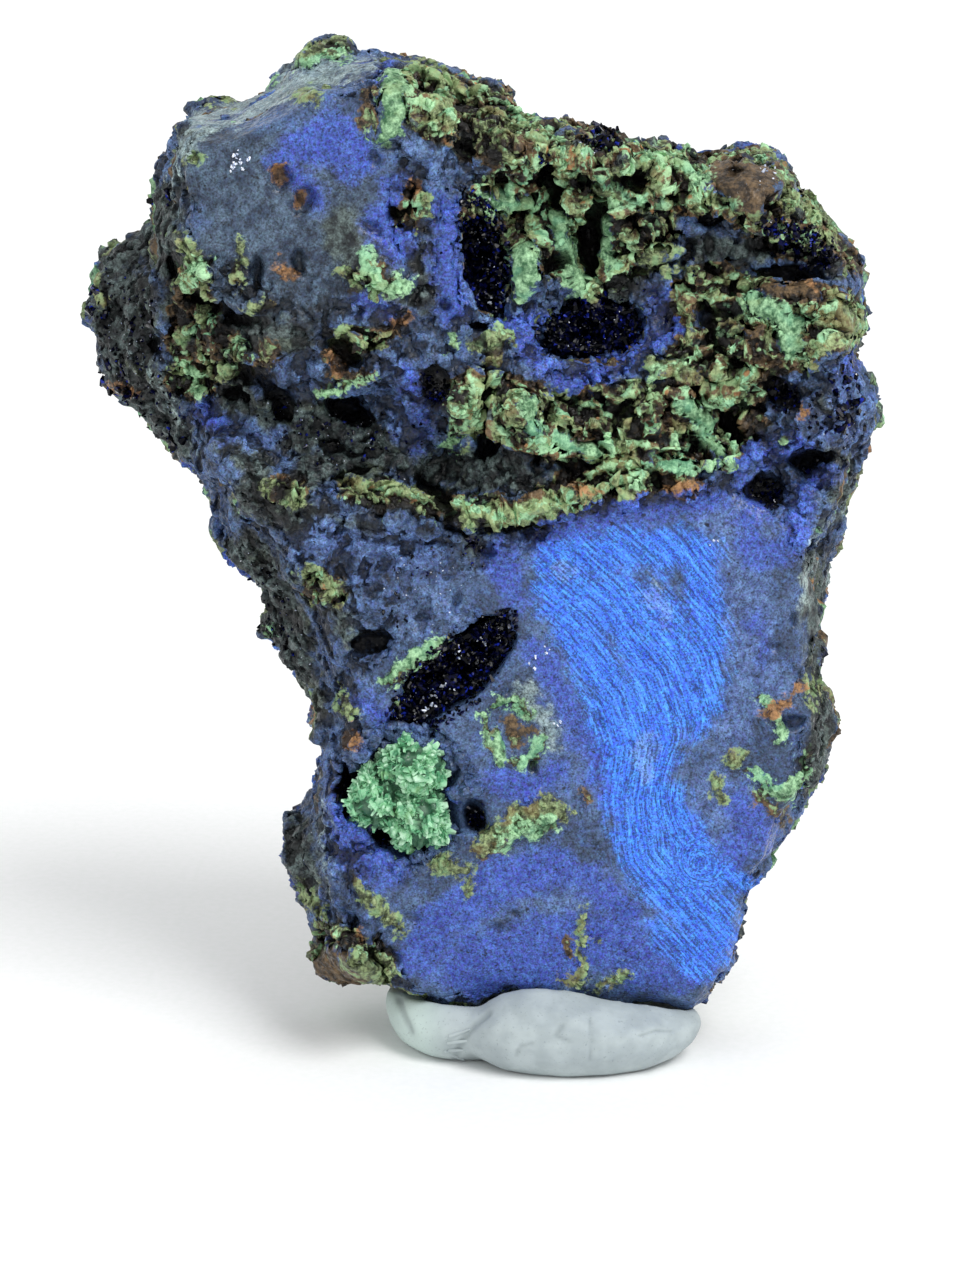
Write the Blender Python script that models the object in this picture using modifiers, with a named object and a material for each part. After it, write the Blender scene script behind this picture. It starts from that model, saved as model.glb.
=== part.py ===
"""A hand-sized azurite specimen standing on a lump of display putty.

The stone is one solid: a thick slab of azurite with malachite and limonite, a flat front face, a rough
pitted band across its upper half and lumpy flanks and back.  Three hollows in it are lined with azurite
crystals, and a fourth holds a rosette of malachite.  A soft grey lump of putty carries the stone.

The frame: +X to the right, +Y away from the front face, +Z up.  The origin is the middle of the putty's
flat underside.  Sizes below are in millimetres until a mesh is made.
"""
import math
import random

import bmesh
import bpy
import numpy as np
from mathutils import Matrix, Vector, noise

# ---------------------------------------------------------------- driving dimensions (millimetres)
MM = 0.001
GAP = 0.32                  # clearance kept between two solids that touch on the real specimen
FACE_DEPTH = -8.0           # y of the flat lower front face
UPPER_FACE_DEPTH = -8.8     # y of the flat upper left front face
BACK_DEPTH_UPPER = 13.6     # y of the back above the waist, on the stone's middle line
BACK_DEPTH_LOWER = 7.6      # y of the back below the waist
BACK_TURN = -0.11           # the back lies nearer to the front towards +X
BACK_TOP_SLOPE = -0.30      # the back leans forward above BACK_TOP_HEIGHT
BACK_TOP_HEIGHT = 51.0
WAIST_HEIGHT = 36.0         # z where the thick upper half passes into the thinner lower half
BACK_ROUNDING = 7.0         # width of the rounded border of the back
RIM_THICKNESS = 4.0         # thickness left at the stone's outermost edge
STONE_TRIANGLES = 5000      # faces left on the stone before its hollows are cut
VOXEL = 0.75                # grid of the remeshing steps
PUTTY_TRIANGLES = 420     # faces left on the putty before the stone's seat is cut

# The stone's outermost edge, clockwise from the upper left: x, z and the depth y at which it lies.
RIM = [
    (-24.0, 60.5, 2), (-23.5, 62.0, 9), (-22.0, 63.0, 11), (-21.0, 62.0, 11), (-19.5, 62.5, 11),
    (-17.5, 64.0, 11), (-17.0, 65.5, 11), (-14.0, 66.5, 11), (-12.5, 65.5, 10), (-9.5, 66.0, 3),
    (-7.0, 65.0, 3), (-4.5, 64.0, 3), (-3.0, 64.5, 3), (-2.5, 62.0, 4), (2.5, 62.0, 6),
    (7.5, 60.0, 6), (9.5, 59.5, 6), (14.0, 60.0, 6), (15.5, 59.5, 5), (16.5, 57.0, 4),
    (18.5, 56.0, 4), (21.0, 52.0, 4), (22.0, 48.5, 2), (20.0, 46.5, 2), (21.5, 45.0, 2),
    (22.0, 43.0, 2), (21.5, 39.5, 2), (20.5, 36.5, 2), (19.5, 33.0, 2), (19.5, 31.0, 2),
    (18.5, 27.5, 2), (19.0, 24.0, 2), (20.0, 20.5, 2), (19.5, 18.0, 2), (18.0, 16.5, 1),
    (15.0, 12.5, 0), (13.0, 9.5, 0), (13.5, 6.0, 0), (12.0, 3.5, 0), (9.5, 3.0, -3),
    (3.5, 3.5, -4), (-3.5, 3.5, -4), (-10.0, 4.0, -3), (-14.0, 2.5, 2), (-16.5, 5.0, 3),
    (-15.5, 6.5, 3), (-17.0, 8.0, 4), (-18.0, 11.0, 4), (-17.5, 13.5, 4), (-16.0, 15.0, 4),
    (-15.0, 19.5, 3), (-17.5, 24.5, 4), (-19.5, 27.0, 5), (-18.0, 28.5, 4), (-20.0, 31.0, 4),
    (-23.0, 33.5, 5), (-22.0, 35.5, 5), (-23.5, 37.5, 6), (-26.5, 39.5, 7), (-26.5, 41.0, 8),
    (-30.0, 43.0, 9), (-31.0, 46.5, 9), (-31.0, 49.0, 9), (-30.0, 52.0, 9), (-27.0, 53.5, 8),
    (-26.0, 58.0, 7), (-24.5, 59.5, 5),
]

# The edge of the front face, x and z, in the same direction.
FRONT = [
    (-23.5, 61.5), (-18.5, 63.0), (-15.5, 64.0), (-12.5, 65.5), (-9.5, 66.5), (-7.0, 66.0),
    (-2.0, 63.0), (5.5, 61.5), (12.5, 61.0), (15.0, 58.5), (18.0, 55.5), (19.5, 51.5),
    (19.0, 48.5), (19.0, 45.0), (19.5, 41.5), (19.0, 39.0), (17.0, 36.5), (16.5, 33.0),
    (16.0, 31.5), (17.0, 28.0), (17.0, 25.0), (17.5, 22.0), (17.0, 19.5), (15.5, 17.5),
    (13.5, 14.5), (12.0, 12.0), (12.5, 9.0), (11.0, 6.5), (9.0, 5.0), (3.5, 5.5),
    (-3.5, 5.5), (-9.0, 6.0), (-10.0, 7.5), (-13.0, 9.0), (-13.5, 11.5), (-14.5, 15.0),
    (-14.5, 19.5), (-12.5, 23.0), (-13.0, 27.0), (-14.5, 32.0), (-16.5, 36.0), (-21.0, 40.5),
    (-22.0, 51.5), (-23.0, 56.5),
]

# Forms of the front: name, x, z, half length, half width, turn in degrees, depth (minus stands proud).
FRONT_FORMS = [
    ("boxwork_hollow", 4.5, 53.0, 11.5, 6.0, -10, 2.2),
    ("middle_band", -12.5, 43.0, 10.5, 3.6, -14, 2.8),
    ("right_terrace", 13.5, 42.0, 6.5, 5.0, 20, 1.2),
    ("left_step", -21.5, 47.0, 3.2, 5.5, 0, 3.0),
    ("ochre_ledge", 1.5, 38.6, 13.0, 1.3, 8, -1.3),
    ("ochre_ledge_left", -11.0, 38.2, 5.0, 1.2, -12, -0.9),
    ("sawn_column", -5.8, 54.3, 1.5, 4.2, 0, -1.3),
    ("brown_nodules", -7.0, 62.8, 1.6, 2.2, -10, -1.0),
    ("mint_slab", -10.0, 63.0, 1.1, 2.4, 5, -0.9),
    ("green_star", -11.5, 53.4, 2.4, 1.9, -20, -0.8),
    ("left_flap", -22.5, 53.5, 1.5, 2.6, 0, -1.2),
    ("mint_crust_left", -19.5, 46.4, 2.6, 1.7, -25, -2.2),
    ("band_boulder", -14.5, 45.8, 2.0, 1.3, 10, -1.6),
    ("cleft_lip_left", -5.6, 44.8, 0.9, 2.8, 0, -1.6),
    ("cleft_lip_right", -1.5, 44.2, 2.0, 2.4, 10, -1.8),
    ("cleft", -4.1, 44.6, 0.9, 2.9, 0, 2.4),
    ("leaf_hole", -12.5, 44.4, 1.7, 1.1, -10, 2.6),
    ("band_slot", -6.8, 39.9, 1.9, 0.8, -40, 1.9),
    ("band_hole_left", -18.0, 42.6, 2.0, 0.9, -30, 1.8),
    ("lava_lump", -1.0, 60.9, 2.4, 1.4, -15, -2.0),
    ("black_lump", 3.6, 60.6, 2.2, 1.4, -10, -2.2),
    ("tall_slot", 2.4, 54.8, 0.9, 2.9, -4, 2.8),
    ("upper_slot", -0.2, 58.2, 0.9, 2.2, 6, 2.2),
    ("mint_block", -1.0, 53.6, 1.8, 2.0, 0, -2.2),
    ("green_ridge", 1.0, 57.3, 2.4, 0.9, 25, -1.6),
    ("box_ridge", 5.6, 56.0, 2.6, 0.8, -40, -1.8),
    ("box_ridge_right", 8.6, 55.5, 0.9, 3.0, 15, -1.6),
    ("brown_facet", 13.0, 57.8, 2.6, 1.9, -20, -1.0),
    ("crystal_hollow", 15.6, 54.2, 2.8, 1.7, -10, 1.8),
    ("brown_shelf", 15.5, 51.6, 3.4, 0.8, -4, -1.4),
    ("mint_streaks", 12.8, 49.5, 3.6, 1.8, 10, -1.3),
    ("olive_lobe", 18.0, 49.0, 1.8, 2.0, 0, -1.4),
    ("blue_bank", 3.0, 48.0, 5.5, 1.3, 6, -1.6),
    ("diamond_hole", 11.6, 43.4, 1.2, 1.1, 0, 2.0),
    ("slanting_slot", 10.8, 46.2, 1.9, 0.6, -5, 1.4),
    ("violet_lobe", 17.0, 43.6, 2.8, 2.6, 0, -1.5),
    ("terrace_slot", 16.8, 40.8, 2.0, 0.8, -5, 1.6),
    ("terrace_hole", 13.6, 39.7, 1.7, 0.9, 0, 1.5),
    ("oval_hole", -11.6, 29.2, 1.5, 0.8, -10, 1.8),
    ("green_blade", -8.6, 28.0, 2.4, 0.9, 32, -0.6),
    ("brown_patch", -2.4, 24.2, 2.0, 2.1, 0, 0.7),
    ("olive_wedge", -11.0, 12.0, 2.6, 1.2, -50, -0.6),
    ("green_band", -3.4, 16.4, 4.6, 1.0, 24, -0.5),
    ("right_crust", 15.6, 22.5, 1.8, 3.6, 8, -0.7),
    ("brown_foot", -13.4, 7.6, 2.8, 2.2, -15, -3.0),
]

# Forms of the back, in the same terms.
BACK_FORMS = [
    ("shoulder_lump", -17.0, 55.0, 6.5, 5.0, 20, -1.6),
    ("middle_lump", 3.0, 50.0, 7.5, 5.5, -15, -1.8),
    ("right_lump", 14.0, 44.0, 4.5, 6.5, 10, -1.2),
    ("waist_lump", -4.0, 33.0, 7.0, 4.0, 25, -1.2),
    ("foot_lump", 5.0, 17.0, 6.5, 5.5, -20, -1.3),
    ("left_foot_lump", -8.0, 14.0, 4.5, 5.5, 10, -0.9),
    ("big_hollow", -6.5, 46.5, 3.4, 2.4, 30, 2.8),
    ("upper_hollow", 9.5, 55.5, 3.0, 1.6, -20, 2.2),
    ("side_hollow", -24.0, 47.5, 2.6, 1.8, 40, 2.0),
    ("cleft_back", 6.5, 31.0, 4.6, 1.1, 50, 2.4),
    ("low_hollow", -1.5, 22.5, 2.4, 1.6, -30, 1.9),
]

# The lined hollows: centre, half sizes and turn about Y in degrees, the y where the crust's lip stops;
# crystals: count, radius and seed.
HOLLOWS = {
    "slit_druse": dict(centre=(-6.1, -6.9, 27.1), radii=(5.6, 4.2, 2.1), turn=-42, lip=-6.9, count=20,
                       crystal=0.78, seed=4),
    "slot_druse": dict(centre=(-4.3, -5.4, 53.9), radii=(1.7, 3.6, 4.3), turn=-12, lip=-5.6, count=15,
                       crystal=0.72, seed=7),
    "pocket_druse": dict(centre=(2.7, -5.4, 49.3), radii=(3.6, 3.8, 2.1), turn=-8, lip=-5.4, count=16,
                         crystal=0.76, seed=11),
}
CRUST_WALL = 0.6            # thickness of the crystals' common root
HOLLOW_WANDER = 0.2         # how far a hollow's outline strays from an oval, as a share

# The malachite rosette: each lobe's centre and half sizes.
ROSETTE_LOBES = [
    ((-8.7, -7.3, 21.0), (2.3, 1.9, 1.9)),
    ((-11.2, -7.2, 18.6), (1.7, 1.7, 1.8)),
    ((-8.4, -7.2, 17.2), (2.0, 1.8, 2.2)),
]
ROSETTE_BLADES = 8         # blades on each lobe
BLADE_REACH = 0.62          # how far the blades reach past their lobe
ROSETTE_SEED = 21
DARK_POCKETS = [            # empty dark hollows beside the rosette
    ((-12.7, -7.6, 19.8), (1.3, 2.4, 1.8)),
    ((-10.8, -7.8, 16.2), (1.5, 2.2, 1.2)),
    ((-5.2, -7.8, 17.6), (1.2, 2.0, 1.2)),
]

# The putty: each lobe's centre, half sizes and turn about Z in degrees.
PUTTY_LOBES = [
    ((2.3, -5.7, 2.5), (8.3, 5.2, 3.5), 6),
    ((-5.0, -0.6, 2.4), (5.7, 7.4, 3.7), -12),
    ((2.5, 3.0, 2.2), (7.6, 6.6, 3.3), 10),
]
PUTTY_VOXEL = 0.5
FLOOR_BLOCK = 60.0          # the block below z = 0 that flattens the putty's underside


# ---------------------------------------------------------------- scene and helpers
for old in list(bpy.data.objects):
    bpy.data.objects.remove(old, do_unlink=True)


def new_collection(name):
    collection = bpy.data.collections.new(name)
    bpy.context.scene.collection.children.link(collection)
    return collection


SPECIMEN = new_collection("azurite_specimen")
CUTTERS = new_collection("cutters")


def material(name, colour, roughness):
    made = bpy.data.materials.new(name)
    made.use_nodes = True
    shader = made.node_tree.nodes["Principled BSDF"]
    shader.inputs["Base Color"].default_value = (*colour, 1.0)
    shader.inputs["Roughness"].default_value = roughness
    shader.inputs["Metallic"].default_value = 0.0
    made.diffuse_color = (*colour, 1.0)
    return made


AZURITE = material("azurite", (0.035, 0.085, 0.36), 0.75)
AZURITE_CRYSTAL = material("azurite_crystal", (0.012, 0.016, 0.12), 0.2)
MALACHITE = material("malachite", (0.13, 0.38, 0.22), 0.6)
PUTTY = material("putty", (0.40, 0.43, 0.43), 0.85)


def add_object(name, mesh, collection, finish=None):
    made = bpy.data.objects.new(name, mesh)
    collection.objects.link(made)
    if finish is not None:
        mesh.materials.clear()
        mesh.materials.append(finish)
    if collection is CUTTERS:
        made.hide_render = True
        made.display_type = "WIRE"
    return made


def evaluated_mesh(made):
    """A plain mesh of the object with its modifiers worked out."""
    graph = bpy.context.evaluated_depsgraph_get()
    graph.update()
    return bpy.data.meshes.new_from_object(made.evaluated_get(graph))


def settle(made):
    """Replace the object's mesh by its evaluated one and drop the modifiers."""
    mesh = evaluated_mesh(made)
    made.modifiers.clear()
    made.data = mesh
    return mesh


def remesh(made, voxel):
    step = made.modifiers.new("remesh", "REMESH")
    step.mode = "VOXEL"
    step.voxel_size = voxel * MM
    return settle(made)


def decimate(made, triangles):
    faces = sum(len(face.vertices) - 2 for face in made.data.polygons)
    step = made.modifiers.new("decimate", "DECIMATE")
    step.ratio = min(1.0, triangles / faces)
    step.use_collapse_triangulate = True
    return settle(made)


def boolean(made, other, operation, own_overlaps=False):
    step = made.modifiers.new(operation.lower() + "_" + other.name, "BOOLEAN")
    step.operation = operation
    step.solver = "EXACT"
    step.use_self = own_overlaps
    step.object = other
    return step


def read_points(mesh):
    flat = np.empty(len(mesh.vertices) * 3, dtype=np.float32)
    mesh.vertices.foreach_get("co", flat)
    return flat.reshape(-1, 3).astype(np.float64) / MM


def write_points(mesh, points):
    mesh.vertices.foreach_set("co", (points * MM).astype(np.float32).ravel())
    mesh.update()


def smoothstep(low, high, value):
    part = np.clip((value - low) / (high - low), 0.0, 1.0)
    return part * part * (3.0 - 2.0 * part)


def distance_to_loop(x, z, loop):
    """Distance from each point to a closed outline, and whether the point is inside it."""
    nearest = np.full(len(x), 1e9)
    inside = np.zeros(len(x), dtype=bool)
    for (ax, az), (bx, bz) in zip(loop, loop[1:] + loop[:1]):
        run = np.clip(((x - ax) * (bx - ax) + (z - az) * (bz - az))
                      / ((bx - ax) ** 2 + (bz - az) ** 2), 0.0, 1.0)
        nearest = np.minimum(nearest, np.hypot(x - ax - run * (bx - ax), z - az - run * (bz - az)))
        if az != bz:
            crosses = (az > z) != (bz > z)
            inside ^= crosses & (x < (bx - ax) * (z - az) / (bz - az) + ax)
    return nearest, inside


def form_offset(forms, x, z):
    """Depth added at each point by a list of oval forms with soft borders."""
    total = np.zeros(len(x))
    for _name, cx, cz, half_length, half_width, turn, depth in forms:
        angle = math.radians(turn)
        along = ((x - cx) * math.cos(angle) + (z - cz) * math.sin(angle)) / half_length
        across = (-(x - cx) * math.sin(angle) + (z - cz) * math.cos(angle)) / half_width
        total += depth * (1.0 - smoothstep(0.62, 1.22, np.hypot(along, across)))
    return total


def ellipsoid(name, centre, radii, turn=0.0, subdivisions=2, axis="Y"):
    """A faceted ellipsoid in the cutters' collection, placed by its own mesh."""
    mesh = bpy.data.meshes.new(name)
    shape = bmesh.new()
    bmesh.ops.create_icosphere(shape, subdivisions=subdivisions, radius=1.0)
    place = (Matrix.Translation(Vector(centre) * MM) @ Matrix.Rotation(math.radians(turn), 4, axis)
             @ Matrix.Diagonal((*(Vector(radii) * MM), 1.0)))
    bmesh.ops.transform(shape, matrix=place, verts=shape.verts)
    shape.to_mesh(mesh)
    shape.free()
    return add_object(name, mesh, CUTTERS)


# ---------------------------------------------------------------- the stone
def stone_slab():
    """The stone's outline as an upright slab, one millimetre to each side of y = 0."""
    curve = bpy.data.curves.new("stone_outline", "CURVE")
    curve.dimensions = "2D"
    curve.fill_mode = "BOTH"
    curve.extrude = MM
    line = curve.splines.new("POLY")
    line.points.add(len(RIM) - 1)
    for point, (x, z, _y) in zip(line.points, RIM):
        point.co = (x * MM, z * MM, 0.0, 1.0)
    line.use_cyclic_u = True
    outline = bpy.data.objects.new("stone_outline", curve)
    CUTTERS.objects.link(outline)
    mesh = evaluated_mesh(outline)
    bpy.data.objects.remove(outline, do_unlink=True)
    shape = bmesh.new()
    shape.from_mesh(mesh)
    bmesh.ops.remove_doubles(shape, verts=shape.verts, dist=0.01 * MM)
    bmesh.ops.rotate(shape, cent=(0, 0, 0), matrix=Matrix.Rotation(math.radians(90), 3, "X"),
                     verts=shape.verts)
    shape.to_mesh(mesh)
    shape.free()
    return add_object("stone", mesh, SPECIMEN, AZURITE)


def shape_stone(points):
    """Give the slab its flat front, slanting flanks and rounded back."""
    x, y, z = points.T
    layer = np.clip((y + 1.0) / 2.0, 0.0, 1.0)
    to_rim, _ = distance_to_loop(x, z, [(px, pz) for px, pz, _py in RIM])
    to_front, on_front = distance_to_loop(x, z, FRONT)
    to_front[on_front] = 0.0
    weight = np.zeros(len(x))
    rim = np.zeros(len(x))
    for px, pz, py in RIM:
        share = 1.0 / ((x - px) ** 2 + (z - pz) ** 2 + 0.5) ** 2
        weight += share
        rim += share * py
    rim /= weight
    upper = smoothstep(-6.0, 6.0, z - WAIST_HEIGHT)
    left = smoothstep(-3.0, -9.0, x) * smoothstep(45.0, 50.0, z)
    front = FACE_DEPTH + (UPPER_FACE_DEPTH - FACE_DEPTH) * left
    front = front + 1.6 * smoothstep(14.0, 4.0, z)
    flank = (to_rim / (to_rim + to_front + 1e-6)) ** 0.85
    near = rim - 0.4 * RIM_THICKNESS
    front_side = near + (np.minimum(front, near - 0.5) - near) * flank
    back = BACK_DEPTH_LOWER + (BACK_DEPTH_UPPER - BACK_DEPTH_LOWER) * upper
    back = back + BACK_TURN * (x + 4.0) + BACK_TOP_SLOPE * np.maximum(z - BACK_TOP_HEIGHT, 0.0)
    far = rim + 0.6 * RIM_THICKNESS
    swell = np.sqrt(1.0 - (1.0 - np.clip(to_rim / BACK_ROUNDING, 0.0, 1.0)) ** 2)
    back_side = far + np.maximum(back - far, 0.0) * swell
    return np.stack([x, front_side * (1.0 - layer) + back_side * layer, z], axis=1)


def roughness_of(x, z, facing_front):
    """How rough the skin is, in millimetres: the sawn faces are nearly flat, all else is lumpy."""
    lower_face = smoothstep(39.0, 36.5, z) * smoothstep(-13.0, -9.0, x)
    upper_face = smoothstep(47.0, 50.0, z) * smoothstep(-6.0, -8.0, x) * smoothstep(-24.0, -22.0, x)
    _, on_front = distance_to_loop(x, z, FRONT)
    flat = np.maximum(lower_face, upper_face) * facing_front * on_front
    return 0.85 * (1.0 - flat) + 0.07 * flat


def roughen(mesh):
    """Push the named forms in or out, then add lumps along the normals."""
    points = read_points(mesh)
    normals = np.empty(len(points) * 3, dtype=np.float32)
    mesh.vertices.foreach_get("normal", normals)
    normals = normals.reshape(-1, 3).astype(np.float64)
    x, y, z = points.T
    facing_front = smoothstep(-0.15, 0.55, -normals[:, 1])
    facing_back = smoothstep(0.1, 0.6, normals[:, 1])
    shift = form_offset(FRONT_FORMS, x, z) * facing_front - form_offset(BACK_FORMS, x, z) * facing_back
    rough = roughness_of(x, z, facing_front)
    lumps = np.array([noise.fractal(Vector(point) / 5.2, 0.9, 2.2, 4) for point in points])
    cells = np.array([noise.voronoi(Vector(point) / 3.4)[0][0] for point in points])
    lift = rough * (0.9 * lumps - 1.5 * (cells - 0.42))
    points[:, 1] += shift
    points += normals * lift[:, None]
    write_points(mesh, points)


def make_stone():
    stone = stone_slab()
    mesh = remesh(stone, VOXEL)
    write_points(mesh, shape_stone(read_points(mesh)))
    mesh = remesh(stone, VOXEL)
    roughen(mesh)
    remesh(stone, VOXEL)
    decimate(stone, STONE_TRIANGLES)
    stone.data.materials.clear()
    stone.data.materials.append(AZURITE)
    return stone


# ---------------------------------------------------------------- crystals in the hollows
def hollow_form(name, centre, radii, turn, seed, inset=0.0, lip=None):
    """An irregular faceted oval, drawn in by the inset and cut off flat at the lip."""
    mesh = bpy.data.meshes.new(name)
    shape = bmesh.new()
    bmesh.ops.create_icosphere(shape, subdivisions=2, radius=1.0)
    for point in shape.verts:
        wander = 1.0 + HOLLOW_WANDER * noise.noise(point.co * 1.7 + Vector((seed, 0.0, 0.0)))
        point.co = Vector([part * (radius * wander - inset) for part, radius in zip(point.co, radii)])
    place = Matrix.Translation(Vector(centre)) @ Matrix.Rotation(math.radians(turn), 4, "Y")
    bmesh.ops.transform(shape, matrix=Matrix.Scale(MM, 4) @ place, verts=shape.verts)
    if lip is not None:
        cut = bmesh.ops.bisect_plane(shape, geom=shape.verts[:] + shape.edges[:] + shape.faces[:],
                                     plane_co=(0.0, lip * MM, 0.0), plane_no=(0.0, -1.0, 0.0),
                                     clear_outer=True)
        edges = [item for item in cut["geom_cut"] if isinstance(item, bmesh.types.BMEdge)]
        bmesh.ops.contextual_create(shape, geom=edges)
        bmesh.ops.recalc_face_normals(shape, faces=shape.faces)
    shape.to_mesh(mesh)
    shape.free()
    return add_object(name, mesh, CUTTERS)


def add_crystal(shape, foot, direction, radius, length, turn):
    """A four-sided tapering crystal standing on its foot."""
    made = bmesh.ops.create_cone(shape, cap_ends=True, segments=4, radius1=radius,
                                 radius2=radius * 0.4, depth=length)
    lean = direction.to_track_quat("Z", "Y").to_matrix().to_4x4()
    place = (Matrix.Translation(foot + direction * length * 0.25) @ lean
             @ Matrix.Rotation(turn, 4, "Z"))
    bmesh.ops.transform(shape, matrix=place, verts=made["verts"])


def make_druse(name, stone, centre, radii, turn, lip, count, crystal, seed):
    """Cut the hollow into the stone and line it with one crust of crystals."""
    boolean(stone, hollow_form(name + "_hollow", centre, radii, turn, seed), "DIFFERENCE")
    shell = hollow_form(name + "_shell", centre, radii, turn, seed, inset=GAP + 0.06, lip=lip)
    inner_inset = GAP + CRUST_WALL
    inner = hollow_form(name + "_inner", centre, radii, turn, seed, inset=inner_inset)
    limit = hollow_form(name + "_limit", centre, radii, turn, seed, inset=GAP + 0.2, lip=lip + 0.1)
    crust = add_object(name, shell.data.copy(), SPECIMEN, AZURITE_CRYSTAL)
    boolean(crust, inner, "DIFFERENCE")
    settle(crust)
    draw = random.Random(seed)
    rotation = Matrix.Rotation(math.radians(turn), 3, "Y")
    mesh = bpy.data.meshes.new(name + "_crystals")
    shape = bmesh.new()
    golden = math.pi * (3.0 - math.sqrt(5.0))
    for index in range(count):
        depth = 1.0 - 1.1 * (index + 0.5) / count
        around = index * golden
        ring = math.sqrt(1.0 - depth * depth)
        unit = Vector((ring * math.cos(around), depth, ring * math.sin(around)))
        local = Vector([part * (radius - inner_inset) for part, radius in zip(unit, radii)])
        foot = (Vector(centre) + rotation @ local) * MM
        inward = rotation @ -Vector([part / radius for part, radius in zip(unit, radii)])
        lean = Vector([draw.uniform(-0.35, 0.35) for _ in range(3)])
        size = crystal * draw.uniform(0.7, 1.15) * MM
        add_crystal(shape, foot, (inward.normalized() + lean).normalized(), size,
                    size * draw.uniform(1.9, 2.7), draw.uniform(0.0, math.tau))
    shape.to_mesh(mesh)
    shape.free()
    crystals = add_object(name + "_crystals", mesh, CUTTERS)
    boolean(crystals, limit, "INTERSECT", own_overlaps=True)
    settle(crystals)
    boolean(crust, crystals, "UNION")
    settle(crust)
    crust.data.materials.clear()
    crust.data.materials.append(AZURITE_CRYSTAL)
    return crust


# ---------------------------------------------------------------- the malachite rosette
def make_rosette(stone):
    """Three lobes of malachite blades in a pocket of their own."""
    mesh = bpy.data.meshes.new("malachite_rosette")
    shape = bmesh.new()
    draw = random.Random(ROSETTE_SEED)
    golden = math.pi * (3.0 - math.sqrt(5.0))
    for lobe_centre, lobe_radii in ROSETTE_LOBES:
        core = bmesh.ops.create_icosphere(shape, subdivisions=2, radius=1.0)
        bmesh.ops.transform(shape, verts=core["verts"],
                            matrix=Matrix.Translation(Vector(lobe_centre) * MM)
                            @ Matrix.Diagonal((*(Vector(lobe_radii) * 0.86 * MM), 1.0)))
        for index in range(ROSETTE_BLADES):
            forward = 1.0 - 0.95 * (index + 0.5) / ROSETTE_BLADES
            ring = math.sqrt(1.0 - forward * forward)
            unit = Vector((ring * math.cos(index * golden), -forward, ring * math.sin(index * golden)))
            foot = Vector([part + along * radius * 0.84 for part, along, radius
                           in zip(lobe_centre, unit, lobe_radii)]) * MM
            blade = bmesh.ops.create_cube(shape, size=1.0)
            size = Matrix.Diagonal((draw.uniform(0.8, 1.3) * MM, 0.34 * MM,
                                    draw.uniform(0.7, 1.0) * MM, 1.0))
            lean = unit.to_track_quat("Z", "Y").to_matrix().to_4x4()
            turn = Matrix.Rotation(draw.uniform(0.0, math.pi), 4, "Z")
            bmesh.ops.transform(shape, verts=blade["verts"],
                                matrix=Matrix.Translation(foot) @ lean @ turn @ size)
    shape.to_mesh(mesh)
    shape.free()
    blades = add_object("rosette_blades", mesh, CUTTERS)
    rosette = add_object("malachite_rosette",
                         ellipsoid("rosette_root", (-9.4, -6.6, 18.9), (2.6, 1.2, 2.6)).data.copy(),
                         SPECIMEN, MALACHITE)
    boolean(rosette, blades, "UNION", own_overlaps=True)
    settle(rosette)
    rosette.data.materials.clear()
    rosette.data.materials.append(MALACHITE)
    room = GAP + BLADE_REACH
    pockets = [(centre, [radius + room for radius in radii]) for centre, radii in ROSETTE_LOBES]
    for index, (centre, radii) in enumerate(pockets + DARK_POCKETS):
        boolean(stone, ellipsoid(f"rosette_pocket_{index}", centre, radii), "DIFFERENCE")
    return rosette


# ---------------------------------------------------------------- the putty
def make_putty(stone):
    """Soft lobes pressed together, flat below and dented by the stone above."""
    mesh = bpy.data.meshes.new("putty")
    shape = bmesh.new()
    for centre, radii, turn in PUTTY_LOBES:
        lobe = bmesh.ops.create_uvsphere(shape, u_segments=32, v_segments=20, radius=1.0)
        bmesh.ops.transform(shape, verts=lobe["verts"],
                            matrix=Matrix.Translation(Vector(centre) * MM)
                            @ Matrix.Rotation(math.radians(turn), 4, "Z")
                            @ Matrix.Diagonal((*(Vector(radii) * MM), 1.0)))
    shape.to_mesh(mesh)
    shape.free()
    putty = add_object("putty", mesh, SPECIMEN, PUTTY)
    remesh(putty, PUTTY_VOXEL)
    decimate(putty, PUTTY_TRIANGLES)
    seat = add_object("stone_seat", evaluated_mesh(stone), CUTTERS)
    points = read_points(seat.data)
    normals = np.empty(len(points) * 3, dtype=np.float32)
    seat.data.vertices.foreach_get("normal", normals)
    write_points(seat.data, points + normals.reshape(-1, 3) * (GAP + 0.25))
    remesh(seat, 0.5)
    decimate(seat, 5000)
    boolean(putty, seat, "DIFFERENCE")
    settle(putty)
    floor_mesh = bpy.data.meshes.new("floor_cut")
    block = bmesh.new()
    bmesh.ops.create_cube(block, size=FLOOR_BLOCK * MM)
    bmesh.ops.translate(block, verts=block.verts, vec=(0.0, 0.0, -FLOOR_BLOCK / 2 * MM))
    block.to_mesh(floor_mesh)
    block.free()
    floor = add_object("floor_cut", floor_mesh, CUTTERS)
    boolean(putty, floor, "DIFFERENCE")
    settle(putty)
    putty.data.materials.clear()
    putty.data.materials.append(PUTTY)
    return putty


stone = make_stone()
putty = make_putty(stone)
for name, values in HOLLOWS.items():
    make_druse(name, stone, **values)
make_rosette(stone)
for made in SPECIMEN.objects:
    print(made.name, len(made.data.polygons), "faces before live modifiers")
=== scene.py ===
# %% [markdown]
# # An azurite specimen on a lump of display putty
# A lesson in cells.  The real thing is one stone about as long as a thumb, a slab of azurite grown
# together with green malachite and brown limonite, pressed upright into soft grey putty.  The solids
# of the stone and the putty come in as a fixed frame.  Every step below dresses them: the skin of the
# stone, the mineral crusts, the crystals in its hollows, the rosette, the putty, and then the light.

# %% Open the frame
import math
import random

import bmesh
import bpy
import numpy as np
from mathutils import Matrix, Vector, noise
from mathutils.bvhtree import BVHTree


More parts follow.
